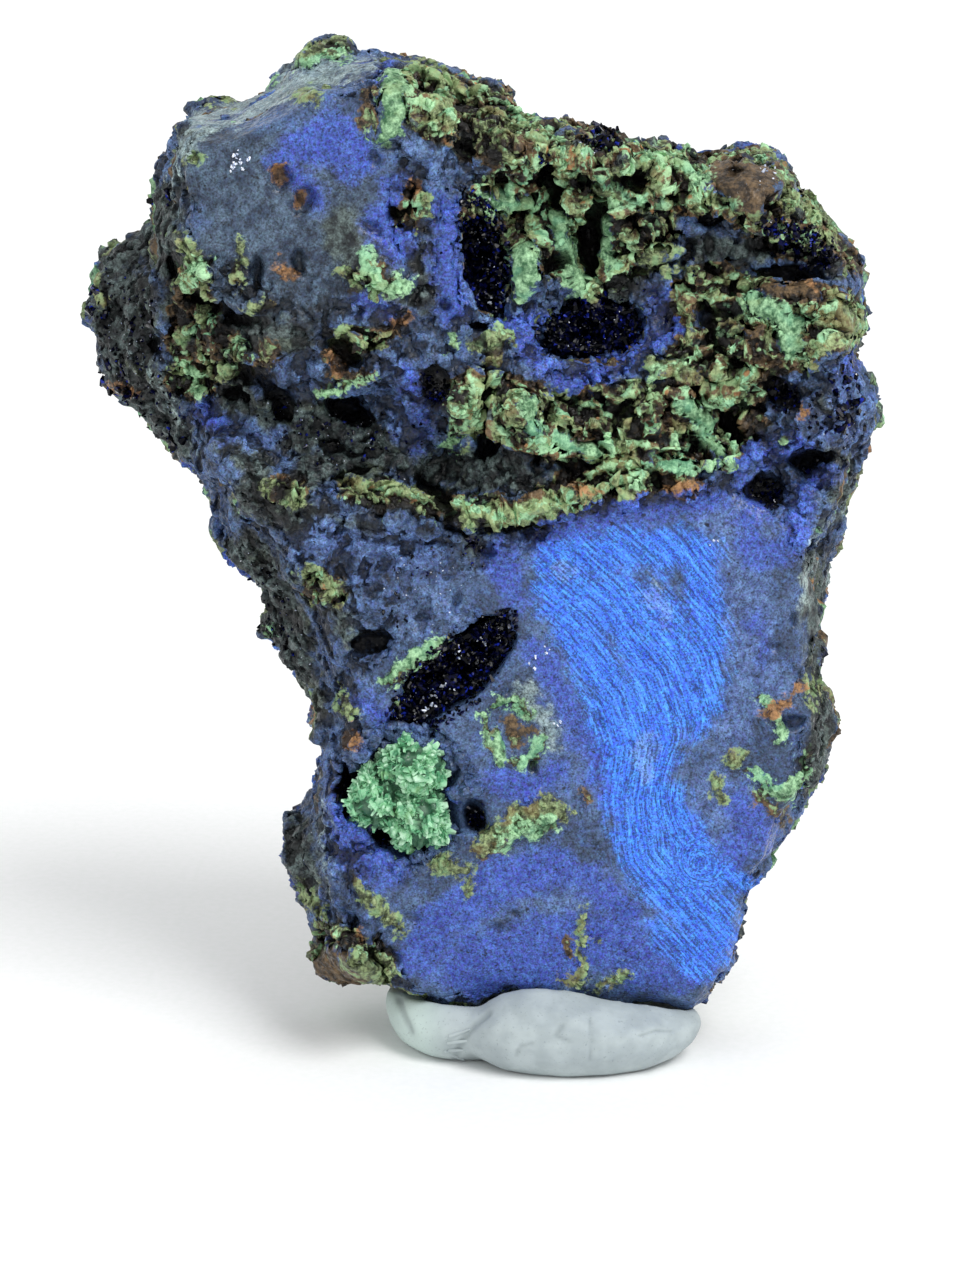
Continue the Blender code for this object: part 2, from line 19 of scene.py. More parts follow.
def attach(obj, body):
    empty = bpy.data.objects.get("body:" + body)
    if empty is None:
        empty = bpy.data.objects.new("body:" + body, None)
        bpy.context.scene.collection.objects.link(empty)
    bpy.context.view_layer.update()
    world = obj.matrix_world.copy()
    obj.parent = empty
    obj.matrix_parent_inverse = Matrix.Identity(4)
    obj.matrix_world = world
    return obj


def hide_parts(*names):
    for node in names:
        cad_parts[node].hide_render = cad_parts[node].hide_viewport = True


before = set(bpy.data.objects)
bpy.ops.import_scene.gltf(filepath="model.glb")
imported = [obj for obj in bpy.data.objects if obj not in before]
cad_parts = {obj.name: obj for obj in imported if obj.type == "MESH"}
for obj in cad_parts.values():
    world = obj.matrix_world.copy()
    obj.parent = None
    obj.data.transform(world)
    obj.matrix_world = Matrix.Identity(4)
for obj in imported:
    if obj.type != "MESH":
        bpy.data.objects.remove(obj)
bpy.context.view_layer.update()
MM = 0.001
print("frame nodes:", ", ".join(sorted(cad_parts)))

# %% [markdown]
# ## The view grid
# A stone has no straight edge to measure from, so every spot on its front is named by where it shows
# from the viewer's place: a grid of 960 by 1280 units, 15 units to a millimetre at the middle of the
# stone, u to the right and v downwards.  A point in space is turned into grid units by the same
# perspective that the camera has, and a ray through a grid point finds the spot on the stone again.

# %% The viewer's place and the grid
VIEW_TILT = math.radians(14.0)
VIEW_DISTANCE = 260.0
VIEW_TARGET = Vector((-4.33, 0.0, 27.48))
GRID_SIZE = (960.0, 1280.0)
GRID_PER_MM = 15.0
FORWARD = Vector((0.0, math.cos(VIEW_TILT), -math.sin(VIEW_TILT)))
UP = Vector((0.0, math.sin(VIEW_TILT), math.cos(VIEW_TILT)))
RIGHT = Vector((1.0, 0.0, 0.0))
EYE = VIEW_TARGET - FORWARD * VIEW_DISTANCE


def to_grid(points):
    """Grid units u and v of points given in millimetres, one row each."""
    away = points - np.array(EYE)
    scale = GRID_PER_MM * VIEW_DISTANCE / (away @ np.array(FORWARD))
    u = GRID_SIZE[0] / 2 + away @ np.array(RIGHT) * scale
    v = GRID_SIZE[1] / 2 - away @ np.array(UP) * scale
    return u, v


def grid_ray(u, v):
    """Direction of sight through a grid point."""
    side = (u - GRID_SIZE[0] / 2) / GRID_PER_MM
    rise = (GRID_SIZE[1] / 2 - v) / GRID_PER_MM
    return (RIGHT * side + UP * rise + FORWARD * VIEW_DISTANCE).normalized()


print("eye at", [round(part, 1) for part in EYE], "mm")

# %% [markdown]
# ## Where each mineral lies
# Each patch of colour is a trail: a few points with a radius, like a stroke of a round brush.  One
# point is a round spot.  Trails are quick to place, they follow bands and ledges, and their edges are
# broken up later by noise, so no patch looks drawn.  First the tones of the azurite itself, with
# painted sheen and painted shade among them.

# %% Tones of the azurite
TONES = {
    "bright": [
        [(560, 562, 24), (640, 548, 20), (700, 552, 18)],
        [(548, 590, 16), (600, 604, 30), (650, 622, 38), (670, 690, 36), (655, 735, 26)],
        [(560, 600, 22), (604, 680, 22), (618, 750, 22), (628, 800, 20), (640, 850, 24), (668, 892, 22)],
        [(700, 565, 16), (708, 640, 20), (703, 700, 18), (692, 735, 10)],
        [(650, 700, 34), (650, 762, 24), (640, 812, 22), (652, 858, 22)],
        [(640, 846, 22), (676, 886, 30), (706, 922, 30), (722, 940, 20)],
        [(660, 930, 10), (700, 960, 18), (730, 952, 8)],
        [(748, 884, 10), (705, 872, 18)],
        [(655, 800, 26), (700, 858, 16)],
    ],
    "royal": [
        [(300, 150, 18), (335, 138, 24), (352, 162, 22)],
        [(280, 160, 12), (315, 196, 14)],
        [(398, 185, 13), (380, 222, 18), (398, 250, 14), (404, 215, 14)],
        [(448, 205, 13), (447, 262, 15), (452, 312, 12)],
        [(365, 302, 9), (388, 312, 8)],
        [(388, 66, 6), (378, 74, 5)],
        [(203, 414, 12), (220, 428, 9)],
        [(409, 372, 11), (424, 418, 8), (420, 446, 7)],
        [(662, 302, 15), (672, 330, 13), (642, 345, 13), (610, 366, 13), (562, 384, 15), (533, 352, 10),
         (520, 330, 9)],
        [(508, 322, 8), (548, 320, 8)],
        [(540, 535, 18), (620, 512, 16), (720, 498, 14)],
        [(500, 560, 16), (515, 600, 12)],
        [(535, 650, 12), (565, 700, 14), (592, 750, 13), (606, 792, 10)],
        [(500, 782, 16), (540, 786, 14), (560, 770, 10)],
        [(745, 520, 14), (760, 560, 12), (790, 545, 14), (800, 500, 12)],
        [(755, 620, 8), (765, 660, 8)],
        [(738, 800, 12), (755, 832, 20), (724, 862, 18)],
        [(345, 800, 18), (352, 850, 20), (392, 872, 18)],
        [(380, 716, 10), (352, 696, 8)],
        [(420, 955, 22), (445, 918, 22), (500, 880, 24), (560, 866, 20)],
        [(470, 965, 30), (545, 950, 36), (620, 935, 24)],
        [(590, 880, 18), (625, 915, 16)],
        [(640, 965, 26), (690, 968, 22)],
        [(745, 455, 12), (778, 452, 13), (800, 442, 10)],
        [(828, 476, 9), (800, 490, 9)],
        [(855, 360, 8), (848, 372, 6)],
        [(735, 472, 8), (760, 515, 10)],
    ],
    "violet": [
        [(720, 520, 22), (745, 600, 26), (755, 680, 28), (730, 740, 18)],
        [(712, 780, 20), (705, 820, 18), (730, 838, 14)],
        [(515, 535, 16), (560, 528, 12)],
        [(545, 690, 10), (575, 740, 10)],
        [(320, 540, 24), (360, 560, 26), (420, 560, 24)],
        [(335, 770, 14), (330, 800, 10)],
        [(235, 430, 14), (270, 440, 12)],
        [(395, 370, 12), (405, 430, 14)],
        [(750, 152, 10), (786, 162, 7)],
        [(440, 935, 9), (428, 985, 9)],
        [(838, 385, 12), (850, 440, 12), (825, 430, 14), (810, 410, 10)],
        [(560, 895, 18), (655, 905, 14)],
    ],
    # The light tone: painted sheen where the bevel at the top catches light at a grazing angle, thin
    # painted highlights along edges, and a few light spots in the bright band.
    "pale_and_sheen": [
        [(184, 148, 11), (202, 124, 13), (240, 112, 11), (285, 92, 12), (322, 74, 12), (352, 70, 8),
         (372, 64, 6)],
        [(296, 60, 12), (338, 54, 12)],
        [(270, 90, 8), (284, 80, 8)],
        [(178, 140, 2), (175, 196, 2), (186, 236, 2)],
        [(130, 352, 1.5), (146, 372, 1.5), (172, 402, 2), (180, 424, 1.5), (198, 455, 1.5)],
        [(322, 800, 2), (322, 850, 2), (328, 898, 2)],
        [(862, 487, 1.5), (838, 515, 2.5), (812, 538, 2.5)],
        [(810, 560, 1.5), (800, 606, 2)],
        [(655, 590, 9), (668, 622, 9)],
        [(648, 742, 13), (644, 772, 9)],
        [(560, 572, 7), (572, 570, 5)],
        [(520, 690, 10), (540, 716, 10), (552, 742, 8)],
    ],
    "charcoal": [
        [(250, 500, 20), (310, 520, 18), (372, 540, 12)],
        [(330, 590, 14), (350, 640, 12)],
        [(400, 466, 12)],
        [(180, 300, 22), (210, 330, 20), (240, 400, 18)], [(150, 240, 20), (100, 260, 20)],
        [(120, 300, 36), (130, 372, 30), (172, 440, 22)],
        [(160, 195, 16), (162, 262, 16)],
        [(248, 560, 28), (282, 620, 26), (305, 700, 22), (300, 745, 16)],
        [(296, 830, 16), (302, 890, 18)],
        [(270, 420, 26), (330, 430, 26), (392, 452, 22), (310, 470, 18)],
        [(430, 470, 18), (500, 470, 22), (556, 486, 10)],
        [(240, 330, 18), (300, 336, 16)],
        [(345, 232, 26), (400, 300, 12)], [(206, 420, 14), (250, 452, 18), (262, 484, 14)],
        [(424, 300, 16), (424, 250, 10)],
        [(545, 700, 4)],
        [(592, 138, 18), (612, 140, 14)],
        [(812, 560, 12), (815, 640, 12), (822, 720, 16), (812, 780, 12)],
        [(845, 500, 10), (842, 460, 14), (832, 400, 16), (815, 430, 12)],
        [(640, 258, 14), (610, 300, 16), (572, 330, 20)],
        [(700, 245, 14), (740, 255, 14), (800, 225, 18), (835, 262, 16)],
        [(480, 560, 8), (470, 542, 8)],
    ],
    # Black marks the holes: the dark crystals that line them, with painted shade in the holes as well.
    "black": [
        [(395, 722, 6), (418, 690, 16), (450, 664, 18), (484, 640, 15), (508, 620, 7)],
        [(470, 202, 8), (482, 240, 12), (490, 292, 13)],
        [(560, 335, 14), (592, 326, 18), (620, 322, 16)],
        [(348, 786, 11), (350, 802, 10)],
        [(380, 828, 13), (396, 836, 12)],
        [(474, 812, 9), (480, 826, 7)],
        [(775, 226, 9), (800, 240, 15), (822, 252, 13)],
        [(432, 380, 13), (438, 398, 11)],
        [(762, 488, 12), (775, 500, 8)],
        [(778, 394, 13), (792, 398, 12)],
        [(590, 134, 13), (612, 142, 13)],
        [(470, 540, 5), (478, 548, 5)],
        [(545, 152, 5), (545, 168, 5)],
    ],
}
print("azurite tones:", {name: len(trails) for name, trails in TONES.items()})

# %% [markdown]
# The crusts that grew on the azurite: mint green malachite, olive where it is mixed with clay, brown
# limonite and the rusty cores of weathered pits.  Each patch has its own name, its mineral and trail.

# %% Patches of malachite and limonite
PATCHES = {
    "mint_slab": ("mint", [(394, 82, 14), (394, 110, 16), (391, 134, 13)]),
    "plate_branch": ("mint", [(556, 218, 10), (566, 252, 11), (580, 286, 13)]),
    "plate_ledge": ("mint", [(480, 196, 8), (530, 205, 10)]),
    "plate_ridge": ("olive", [(600, 186, 10), (636, 206, 10)]),
    "plate_wall": ("mint", [(604, 222, 9), (606, 262, 10)]),
    "plate_streak": ("mint", [(756, 304, 12), (794, 322, 15), (790, 348, 13)]),
    "plate_slab": ("olive", [(652, 366, 9), (690, 372, 11)]),
    "plate_mid": ("mint", [(560, 440, 12), (596, 452, 11)]),
    "plate_lip": ("mint", [(528, 404, 11), (532, 432, 11)]),
    "plate_frame": ("mint", [(700, 432, 9), (718, 452, 11)]),
    "plate_right": ("mint", [(680, 402, 12), (704, 420, 13)]),
    "plate_low": ("mint", [(650, 460, 9), (690, 467, 9)]),
    "plate_lobe": ("olive", [(836, 308, 13), (850, 326, 14)]),
    "top_cap": ("olive", [(300, 56, 8), (320, 46, 10), (345, 44, 9)]),
    "cap_mint": ("mint", [(298, 62, 6), (350, 50, 5)]),
    "left_cap": ("olive", [(206, 100, 6), (218, 93, 8), (232, 102, 5)]),
    "slab_side": ("brown", [(368, 88, 7), (366, 126, 8)]),
    "upper_brown": ("brown", [(414, 74, 9), (428, 96, 12)]),
    "mint_slab_foot": ("mint", [(380, 140, 7), (372, 136, 6)]),
    "star_top": ("mint", [(366, 254, 9), (368, 278, 12), (372, 298, 10)]),
    "star_arm_right": ("mint", [(376, 284, 12), (402, 286, 12)]),
    "star_arm_left": ("olive", [(346, 272, 8), (352, 290, 8)]),
    "sliver": ("olive", [(240, 240, 4), (241, 260, 7), (238, 282, 8)]),
    "flap_top": ("olive", [(180, 241, 9), (196, 254, 10)]),
    "flap_middle": ("mint", [(182, 268, 9), (200, 268, 12), (192, 278, 10)]),
    "flap_foot": ("olive", [(198, 290, 10), (206, 300, 8)]),
    "left_spot": ("olive", [(252, 308, 8), (268, 302, 9)]),
    "left_blob": ("mint", [(220, 347, 7), (236, 349, 10), (247, 358, 7)]),
    "left_brown": ("brown", [(180, 322, 8), (175, 342, 7)]),
    "left_crust": ("mint", [(176, 360, 9), (190, 366, 10), (199, 386, 12), (196, 398, 7)]),
    "left_crust_side": ("olive", [(212, 372, 11), (228, 376, 9)]),
    "hollow_brown": ("brown", [(268, 350, 12), (262, 368, 9)]),
    "knob_olive": ("olive", [(96, 284, 9), (104, 300, 6)]),
    "knob_rust": ("rust", [(112, 387, 4), (140, 396, 4)]),
    "band_olive": ("olive", [(348, 338, 11), (364, 350, 7)]),
    "band_orange": ("rust", [(394, 322, 6), (404, 318, 5)]),
    "band_orange_low": ("rust", [(334, 352, 6), (340, 372, 5)]),
    "band_mint": ("mint", [(402, 340, 8), (416, 338, 6)]),
    "band_brown": ("brown", [(340, 376, 10), (362, 376, 9)]),
    "band_green_rim": ("mint", [(320, 392, 8), (345, 390, 5), (372, 374, 5)]),
    "lip_left_top": ("mint", [(452, 335, 8), (450, 350, 6)]),
    "lip_left": ("mint", [(454, 382, 6), (463, 402, 10), (458, 428, 10), (446, 442, 7), (455, 452, 6)]),
    "lip_left_olive": ("olive", [(472, 398, 8), (468, 424, 7)]),
    "cleft_roof": ("olive", [(478, 340, 10), (498, 345, 10), (490, 362, 9)]),
    "cleft_roof_mint": ("mint", [(502, 330, 7), (514, 344, 7)]),
    "lip_right": ("mint", [(530, 390, 6), (520, 412, 9), (528, 430, 9), (545, 446, 8)]),
    "lip_right_olive": ("olive", [(498, 382, 8), (500, 408, 7), (498, 430, 6)]),
    "crumbs_middle": ("olive", [(542, 402, 7), (562, 398, 7), (580, 408, 8), (600, 420, 9)]),
    "crumbs_low": ("olive", [(560, 440, 8), (585, 446, 10), (610, 450, 9), (640, 448, 8)]),
    "crumbs_mint": ("mint", [(614, 392, 6), (644, 392, 6), (652, 412, 8)]),
    "ledge_far_left": ("olive", [(262, 488, 8), (285, 492, 8), (300, 506, 7)]),
    "ledge_left": ("olive", [(344, 484, 9), (372, 492, 12), (402, 494, 13), (432, 504, 12)]),
    "ledge_left_mint": ("mint", [(346, 496, 6), (382, 508, 6)]),
    "ledge_middle": ("olive", [(462, 516, 13), (500, 520, 12), (534, 514, 12), (568, 504, 11)]),
    "ledge_middle_mint": ("mint", [(478, 500, 6), (490, 512, 6)]),
    "ledge_right": ("olive", [(600, 490, 10), (630, 480, 8), (655, 470, 7)]),
    "ledge_right_mint": ("mint", [(590, 476, 7), (618, 466, 8), (655, 460, 8), (690, 474, 5)]),
    "ledge_ochre": ("rust", [(566, 486, 6), (600, 494, 4)]),
    "orange_lens": ("rust", [(668, 484, 8), (680, 490, 7), (696, 487, 6)]),
    "ledge_brown": ("brown", [(684, 460, 8), (637, 478, 6)]),
    "top_tan": ("olive", [(412, 68, 8), (430, 66, 9), (446, 80, 8)]),
    "top_brown": ("brown", [(420, 84, 8), (428, 98, 8)]),
    "top_brown_left": ("brown", [(372, 92, 7), (366, 110, 7), (372, 126, 6)]),
    "top_green": ("olive", [(446, 92, 6), (438, 112, 6), (432, 128, 6)]),
    "top_knob": ("mint", [(484, 86, 7), (491, 98, 7)]),
    "top_knob_foot": ("olive", [(492, 112, 8), (478, 120, 7)]),
    "top_nodules": ("brown", [(466, 98, 8), (476, 112, 7)]),
    "orange_spot": ("rust", [(417, 184, 7)]),
    "orange_spot_foot": ("olive", [(424, 202, 8), (430, 216, 7)]),
    "lava_brown": ("brown", [(500, 136, 9), (520, 146, 12), (512, 164, 8)]),
    "lava_olive": ("olive", [(514, 118, 9), (532, 122, 9), (478, 140, 9), (500, 154, 6)]),
    "lava_right": ("olive", [(540, 128, 9), (556, 136, 8), (562, 150, 6)]),
    "ledge_plate": ("mint", [(482, 182, 6), (508, 180, 8), (530, 180, 7), (540, 190, 5)]),
    "ledge_plate_low": ("mint", [(478, 198, 4), (505, 204, 5), (536, 204, 6)]),
    "block_face": ("mint", [(520, 252, 13), (524, 275, 15), (520, 292, 10)]),
    "facet_brown": ("brown", [(505, 226, 9), (512, 240, 8)]),
    "branch": ("mint", [(546, 206, 7), (553, 224, 7), (562, 240, 7), (566, 256, 6)]),
    "branch_foot": ("olive", [(570, 274, 8), (584, 288, 10), (592, 300, 8)]),
    "middle_ridge": ("mint", [(560, 164, 6), (572, 172, 8), (566, 190, 6)]),
    "middle_ridge_olive": ("olive", [(582, 180, 9), (586, 202, 8), (578, 208, 6)]),
    "right_ridge": ("mint", [(602, 178, 8), (622, 186, 8), (638, 200, 8)]),
    "right_wall": ("mint", [(602, 212, 8), (606, 236, 10), (604, 258, 8)]),
    "right_wall_olive": ("olive", [(618, 250, 7), (615, 272, 7)]),
    "cell_floor": ("brown", [(636, 186, 12), (650, 196, 9)]),
    "upper_mint": ("mint", [(624, 150, 6), (642, 152, 9), (662, 160, 9)]),
    "upper_spread": ("mint", [(682, 166, 10), (706, 176, 10), (694, 190, 10), (712, 196, 6)]),
    "upper_spread_olive": ("olive", [(676, 196, 9), (700, 204, 8), (722, 202, 6), (736, 210, 7)]),
    "arm_mint": ("mint", [(655, 222, 10), (642, 236, 9), (628, 248, 6)]),
    "arm_olive": ("olive", [(664, 252, 9), (648, 262, 6), (664, 270, 6)]),
    "big_facet": ("brown", [(720, 172, 15), (742, 182, 22), (748, 206, 16), (768, 178, 15)]),
    "big_facet_side": ("brown", [(780, 176, 8), (788, 190, 6)]),
    "top_edge_brown": ("brown", [(650, 138, 5), (670, 142, 5)]),
    "crest_green": ("olive", [(798, 200, 10), (814, 208, 9), (820, 222, 6)]),
    "flank_brown": ("brown", [(828, 218, 7), (842, 246, 8), (856, 268, 7)]),
    "crystal_spot": ("mint", [(784, 232, 7), (788, 242, 6)]),
    "slope_green": ("olive", [(755, 222, 6), (768, 216, 5)]),
    "shelf_brown": ("brown", [(756, 284, 7), (782, 292, 9), (812, 290, 9), (808, 306, 7)]),
    "shelf_rust": ("rust", [(812, 286, 4)]),
    "gem": ("mint", [(780, 228, 9), (790, 242, 7)]),
    "streak_top": ("mint", [(752, 302, 7), (778, 310, 9), (798, 320, 9)]),
    "streak_left": ("olive", [(718, 300, 7), (716, 318, 8), (728, 326, 6)]),
    "streak_low": ("mint", [(786, 332, 12), (792, 352, 10)]),
    "streak_fork": ("mint", [(806, 322, 9), (822, 308, 7)]),
    "lobe_olive": ("olive", [(836, 306, 14), (852, 324, 15), (842, 340, 10)]),
    "lobe_foot": ("olive", [(812, 346, 8), (828, 350, 7)]),
    "hole_brown": ("brown", [(752, 324, 8), (758, 340, 7)]),
    "bridge_mint": ("mint", [(734, 336, 6), (736, 352, 6), (728, 364, 5)]),
    "bridge_low": ("mint", [(744, 372, 6), (740, 384, 5), (748, 398, 7)]),
    "recess_brown": ("brown", [(766, 372, 10), (782, 368, 7)]),
    "slab_olive": ("olive", [(668, 368, 8), (688, 370, 8), (662, 382, 6)]),
    "slab_brown": ("brown", [(672, 398, 10), (686, 410, 7)]),
    "slot_floor": ("brown", [(716, 396, 8), (732, 398, 7)]),
    "arch_mint": ("mint", [(700, 404, 6), (722, 406, 6), (744, 404, 6)]),
    "pillar_mint": ("mint", [(700, 418, 8), (698, 436, 8), (688, 448, 6)]),
    "diamond_floor": ("brown", [(724, 438, 8)]),
    "foot_mint": ("mint", [(664, 452, 7), (690, 462, 5)]),
    "terrace_mint": ("mint", [(722, 466, 6), (738, 466, 6)]),
    "terrace_spot": ("mint", [(778, 443, 7)]),
    "yellow_spot": ("olive", [(808, 355, 6), (812, 368, 6)]),
    "tiny_orange": ("rust", [(806, 412, 4)]),
    "flank_green": ("olive", [(312, 570, 9), (328, 588, 10), (340, 602, 7), (300, 574, 6)]),
    "flank_green_low": ("mint", [(270, 626, 6), (266, 640, 5)]),
    "nugget": ("rust", [(350, 732, 7), (351, 744, 7)]),
    "nugget_green": ("olive", [(344, 708, 8), (352, 716, 6), (340, 688, 5)]),
    "blade": ("mint", [(390, 684, 8), (410, 664, 13), (434, 648, 11)]),
    "quad_rim_top": ("mint", [(492, 702, 8), (512, 699, 9), (528, 714, 8)]),
    "quad_rim_left": ("mint", [(487, 718, 7), (492, 742, 8), (500, 762, 8)]),
    "quad_rim_low": ("mint", [(514, 763, 8), (534, 757, 8), (543, 738, 8)]),
    "quad_core": ("brown", [(508, 722, 9), (516, 738, 9), (530, 730, 6)]),
    "band_tail": ("olive", [(432, 868, 5), (446, 864, 8), (464, 870, 9)]),
    "band_body": ("olive", [(482, 848, 10), (498, 830, 13), (520, 818, 15), (544, 808, 14), (566, 812, 7)]),
    "band_mint": ("mint", [(500, 842, 8), (528, 832, 9), (552, 822, 8)]),
    "band_tips": ("mint", [(500, 828, 6), (524, 822, 6), (552, 818, 5)]),
    "band_core": ("brown", [(530, 806, 7), (554, 806, 8), (480, 858, 5)]),
    "band_horn": ("brown", [(584, 790, 4), (586, 802, 5)]),
    "band_drop": ("olive", [(472, 884, 6), (470, 898, 4)]),
    "wedge": ("olive", [(356, 882, 8), (366, 896, 9), (384, 914, 7), (402, 932, 5)]),
    "foot_lump": ("brown", [(322, 960, 14), (340, 974, 14), (362, 982, 9)]),
    "foot_skin": ("olive", [(352, 962, 10), (384, 978, 12)]),
    "foot_knob": ("brown", [(314, 946, 7), (312, 960, 7)]),
    "foot_green": ("olive", [(338, 926, 7), (356, 944, 8), (386, 960, 8)]),
    "foot_rust": ("rust", [(360, 936, 5)]),
    "side_green": ("olive", [(304, 884, 6), (308, 902, 7), (322, 912, 6)]),
    "right_top": ("mint", [(756, 696, 6), (768, 704, 6), (774, 722, 6), (782, 742, 6)]),
    "right_brown": ("rust", [(765, 716, 5), (800, 690, 4)]),
    "right_ochre": ("olive", [(734, 760, 8), (744, 756, 6)]),
    "right_spot": ("olive", [(714, 782, 7), (722, 798, 5)]),
    "right_sweep": ("mint", [(744, 772, 6), (768, 790, 8), (790, 792, 10), (804, 772, 9), (806, 748, 6)]),
    "right_sweep_brown": ("brown", [(762, 798, 7), (782, 820, 6)]),
    "right_edge": ("olive", [(812, 680, 8), (814, 706, 8)]),
    "cross_stem": ("olive", [(582, 910, 4), (583, 935, 4), (584, 962, 4), (578, 985, 4)]),
    "cross_arm": ("olive", [(583, 936, 3), (598, 938, 4)]),
    "cross_brown": ("brown", [(567, 943, 6), (572, 956, 4)]),
    "cross_foot": ("olive", [(564, 978, 5), (576, 984, 4)]),
    "cross_toe": ("olive", [(598, 986, 5), (612, 978, 6), (628, 972, 7)]),
    "corner_ring": ("olive", [(193, 158, 6)]),
    "pit_rust_a": ("rust", [(281, 177, 8)]),
    "pit_rust_b": ("rust", [(302, 201, 7)]),
    "pit_rust_c": ("rust", [(280, 268, 8), (292, 272, 5)]),
    "rim_olive": ("olive", [(300, 56, 9), (316, 52, 9)]),
    "rim_green": ("mint", [(338, 50, 7), (350, 56, 5)]),
    "rim_brown": ("brown", [(214, 92, 5), (220, 96, 5)]),
    "rim_mint": ("mint", [(276, 78, 4), (266, 84, 4)]),
    "facet_olive": ("olive", [(296, 96, 7), (316, 98, 7)]),
}
print(len(PATCHES), "patches")

# %% [markdown]
# Between the deep holes stand thin walls, the boxwork left when the mineral between them dissolved.
# Each wall is a line on the grid with a mineral and a height in millimetres.

# %% Walls of the boxwork
WALLS = {
    "ledge_plate": ("mint", [(474, 190), (505, 186), (544, 200)], 0.9),
    "block_side": ("mint", [(547, 200), (558, 226), (563, 260), (592, 288)], 1.0),
    "slot_right": ("olive", [(597, 192), (602, 236), (608, 282)], 0.9),
    "curtain": ("olive", [(486, 206), (497, 240), (507, 296)], 0.9),
    "slot_left": ("olive", [(570, 205), (578, 250), (594, 290)], 0.6),
    "cell_right": ("mint", [(664, 168), (667, 206)], 0.8),
    "cell_foot": ("mint", [(598, 204), (640, 207), (667, 206)], 0.7),
    "cell_roof": ("olive", [(602, 176), (630, 166), (660, 164)], 0.6),
    "leaf_top": ("olive", [(631, 262), (660, 246), (684, 252)], 0.6),
    "leaf_foot": ("olive", [(640, 273), (684, 268)], 0.5),
    "spread": ("mint", [(676, 172), (700, 186), (724, 206), (740, 208)], 0.7),
    "streak": ("mint", [(709, 296), (740, 300), (771, 304), (805, 327), (833, 304)], 0.6),
    "cell_a": ("olive", [(687, 296), (690, 338)], 0.6),
    "cell_b": ("olive", [(714, 300), (716, 345)], 0.6),
    "slot_roof": ("olive", [(690, 378), (716, 380), (745, 378)], 0.7),
    "slot_sill": ("mint", [(690, 402), (716, 402), (745, 403)], 0.6),
    "hole_left": ("mint", [(699, 404), (694, 424), (686, 444)], 0.8),
    "hole_right": ("mint", [(744, 408), (746, 428), (742, 446)], 0.8),
    "rising_band": ("mint", [(648, 378), (670, 368), (692, 361), (710, 346)], 0.6),
    "cleft_left": ("olive", [(470, 372), (474, 410), (468, 452)], 1.0),
    "cleft_right": ("mint", [(493, 374), (497, 412), (506, 440), (530, 450)], 1.0),
    "middle_a": ("olive", [(540, 392), (575, 400), (610, 414)], 0.5),
    "middle_b": ("mint", [(548, 446), (590, 452), (640, 444), (664, 450)], 0.6),
    "ledge_a": ("olive", [(340, 482), (400, 492), (436, 502)], 0.9),
    "ledge_b": ("olive", [(440, 508), (500, 516), (568, 502), (610, 486), (656, 468)], 0.9),
    "ledge_c": ("mint", [(590, 474), (640, 462), (690, 470), (740, 462)], 0.6),
    "left_leaf": ("olive", [(330, 340), (352, 334), (372, 350)], 0.7),
    "left_shelf": ("mint", [(318, 392), (345, 388), (374, 374)], 0.7),
    "flap": ("olive", [(176, 240), (196, 256), (204, 284), (206, 306)], 0.9),
    "top_knobs": ("olive", [(412, 74), (446, 84), (478, 100)], 0.6),
}
print(len(WALLS), "walls")

# %% [markdown]
# The holes.  A real stone like this is leached, so it is full of small pits with sharp rims.  Each is
# an oval pushed straight back from the viewer: u, v, half width, half height, turn and depth in mm.

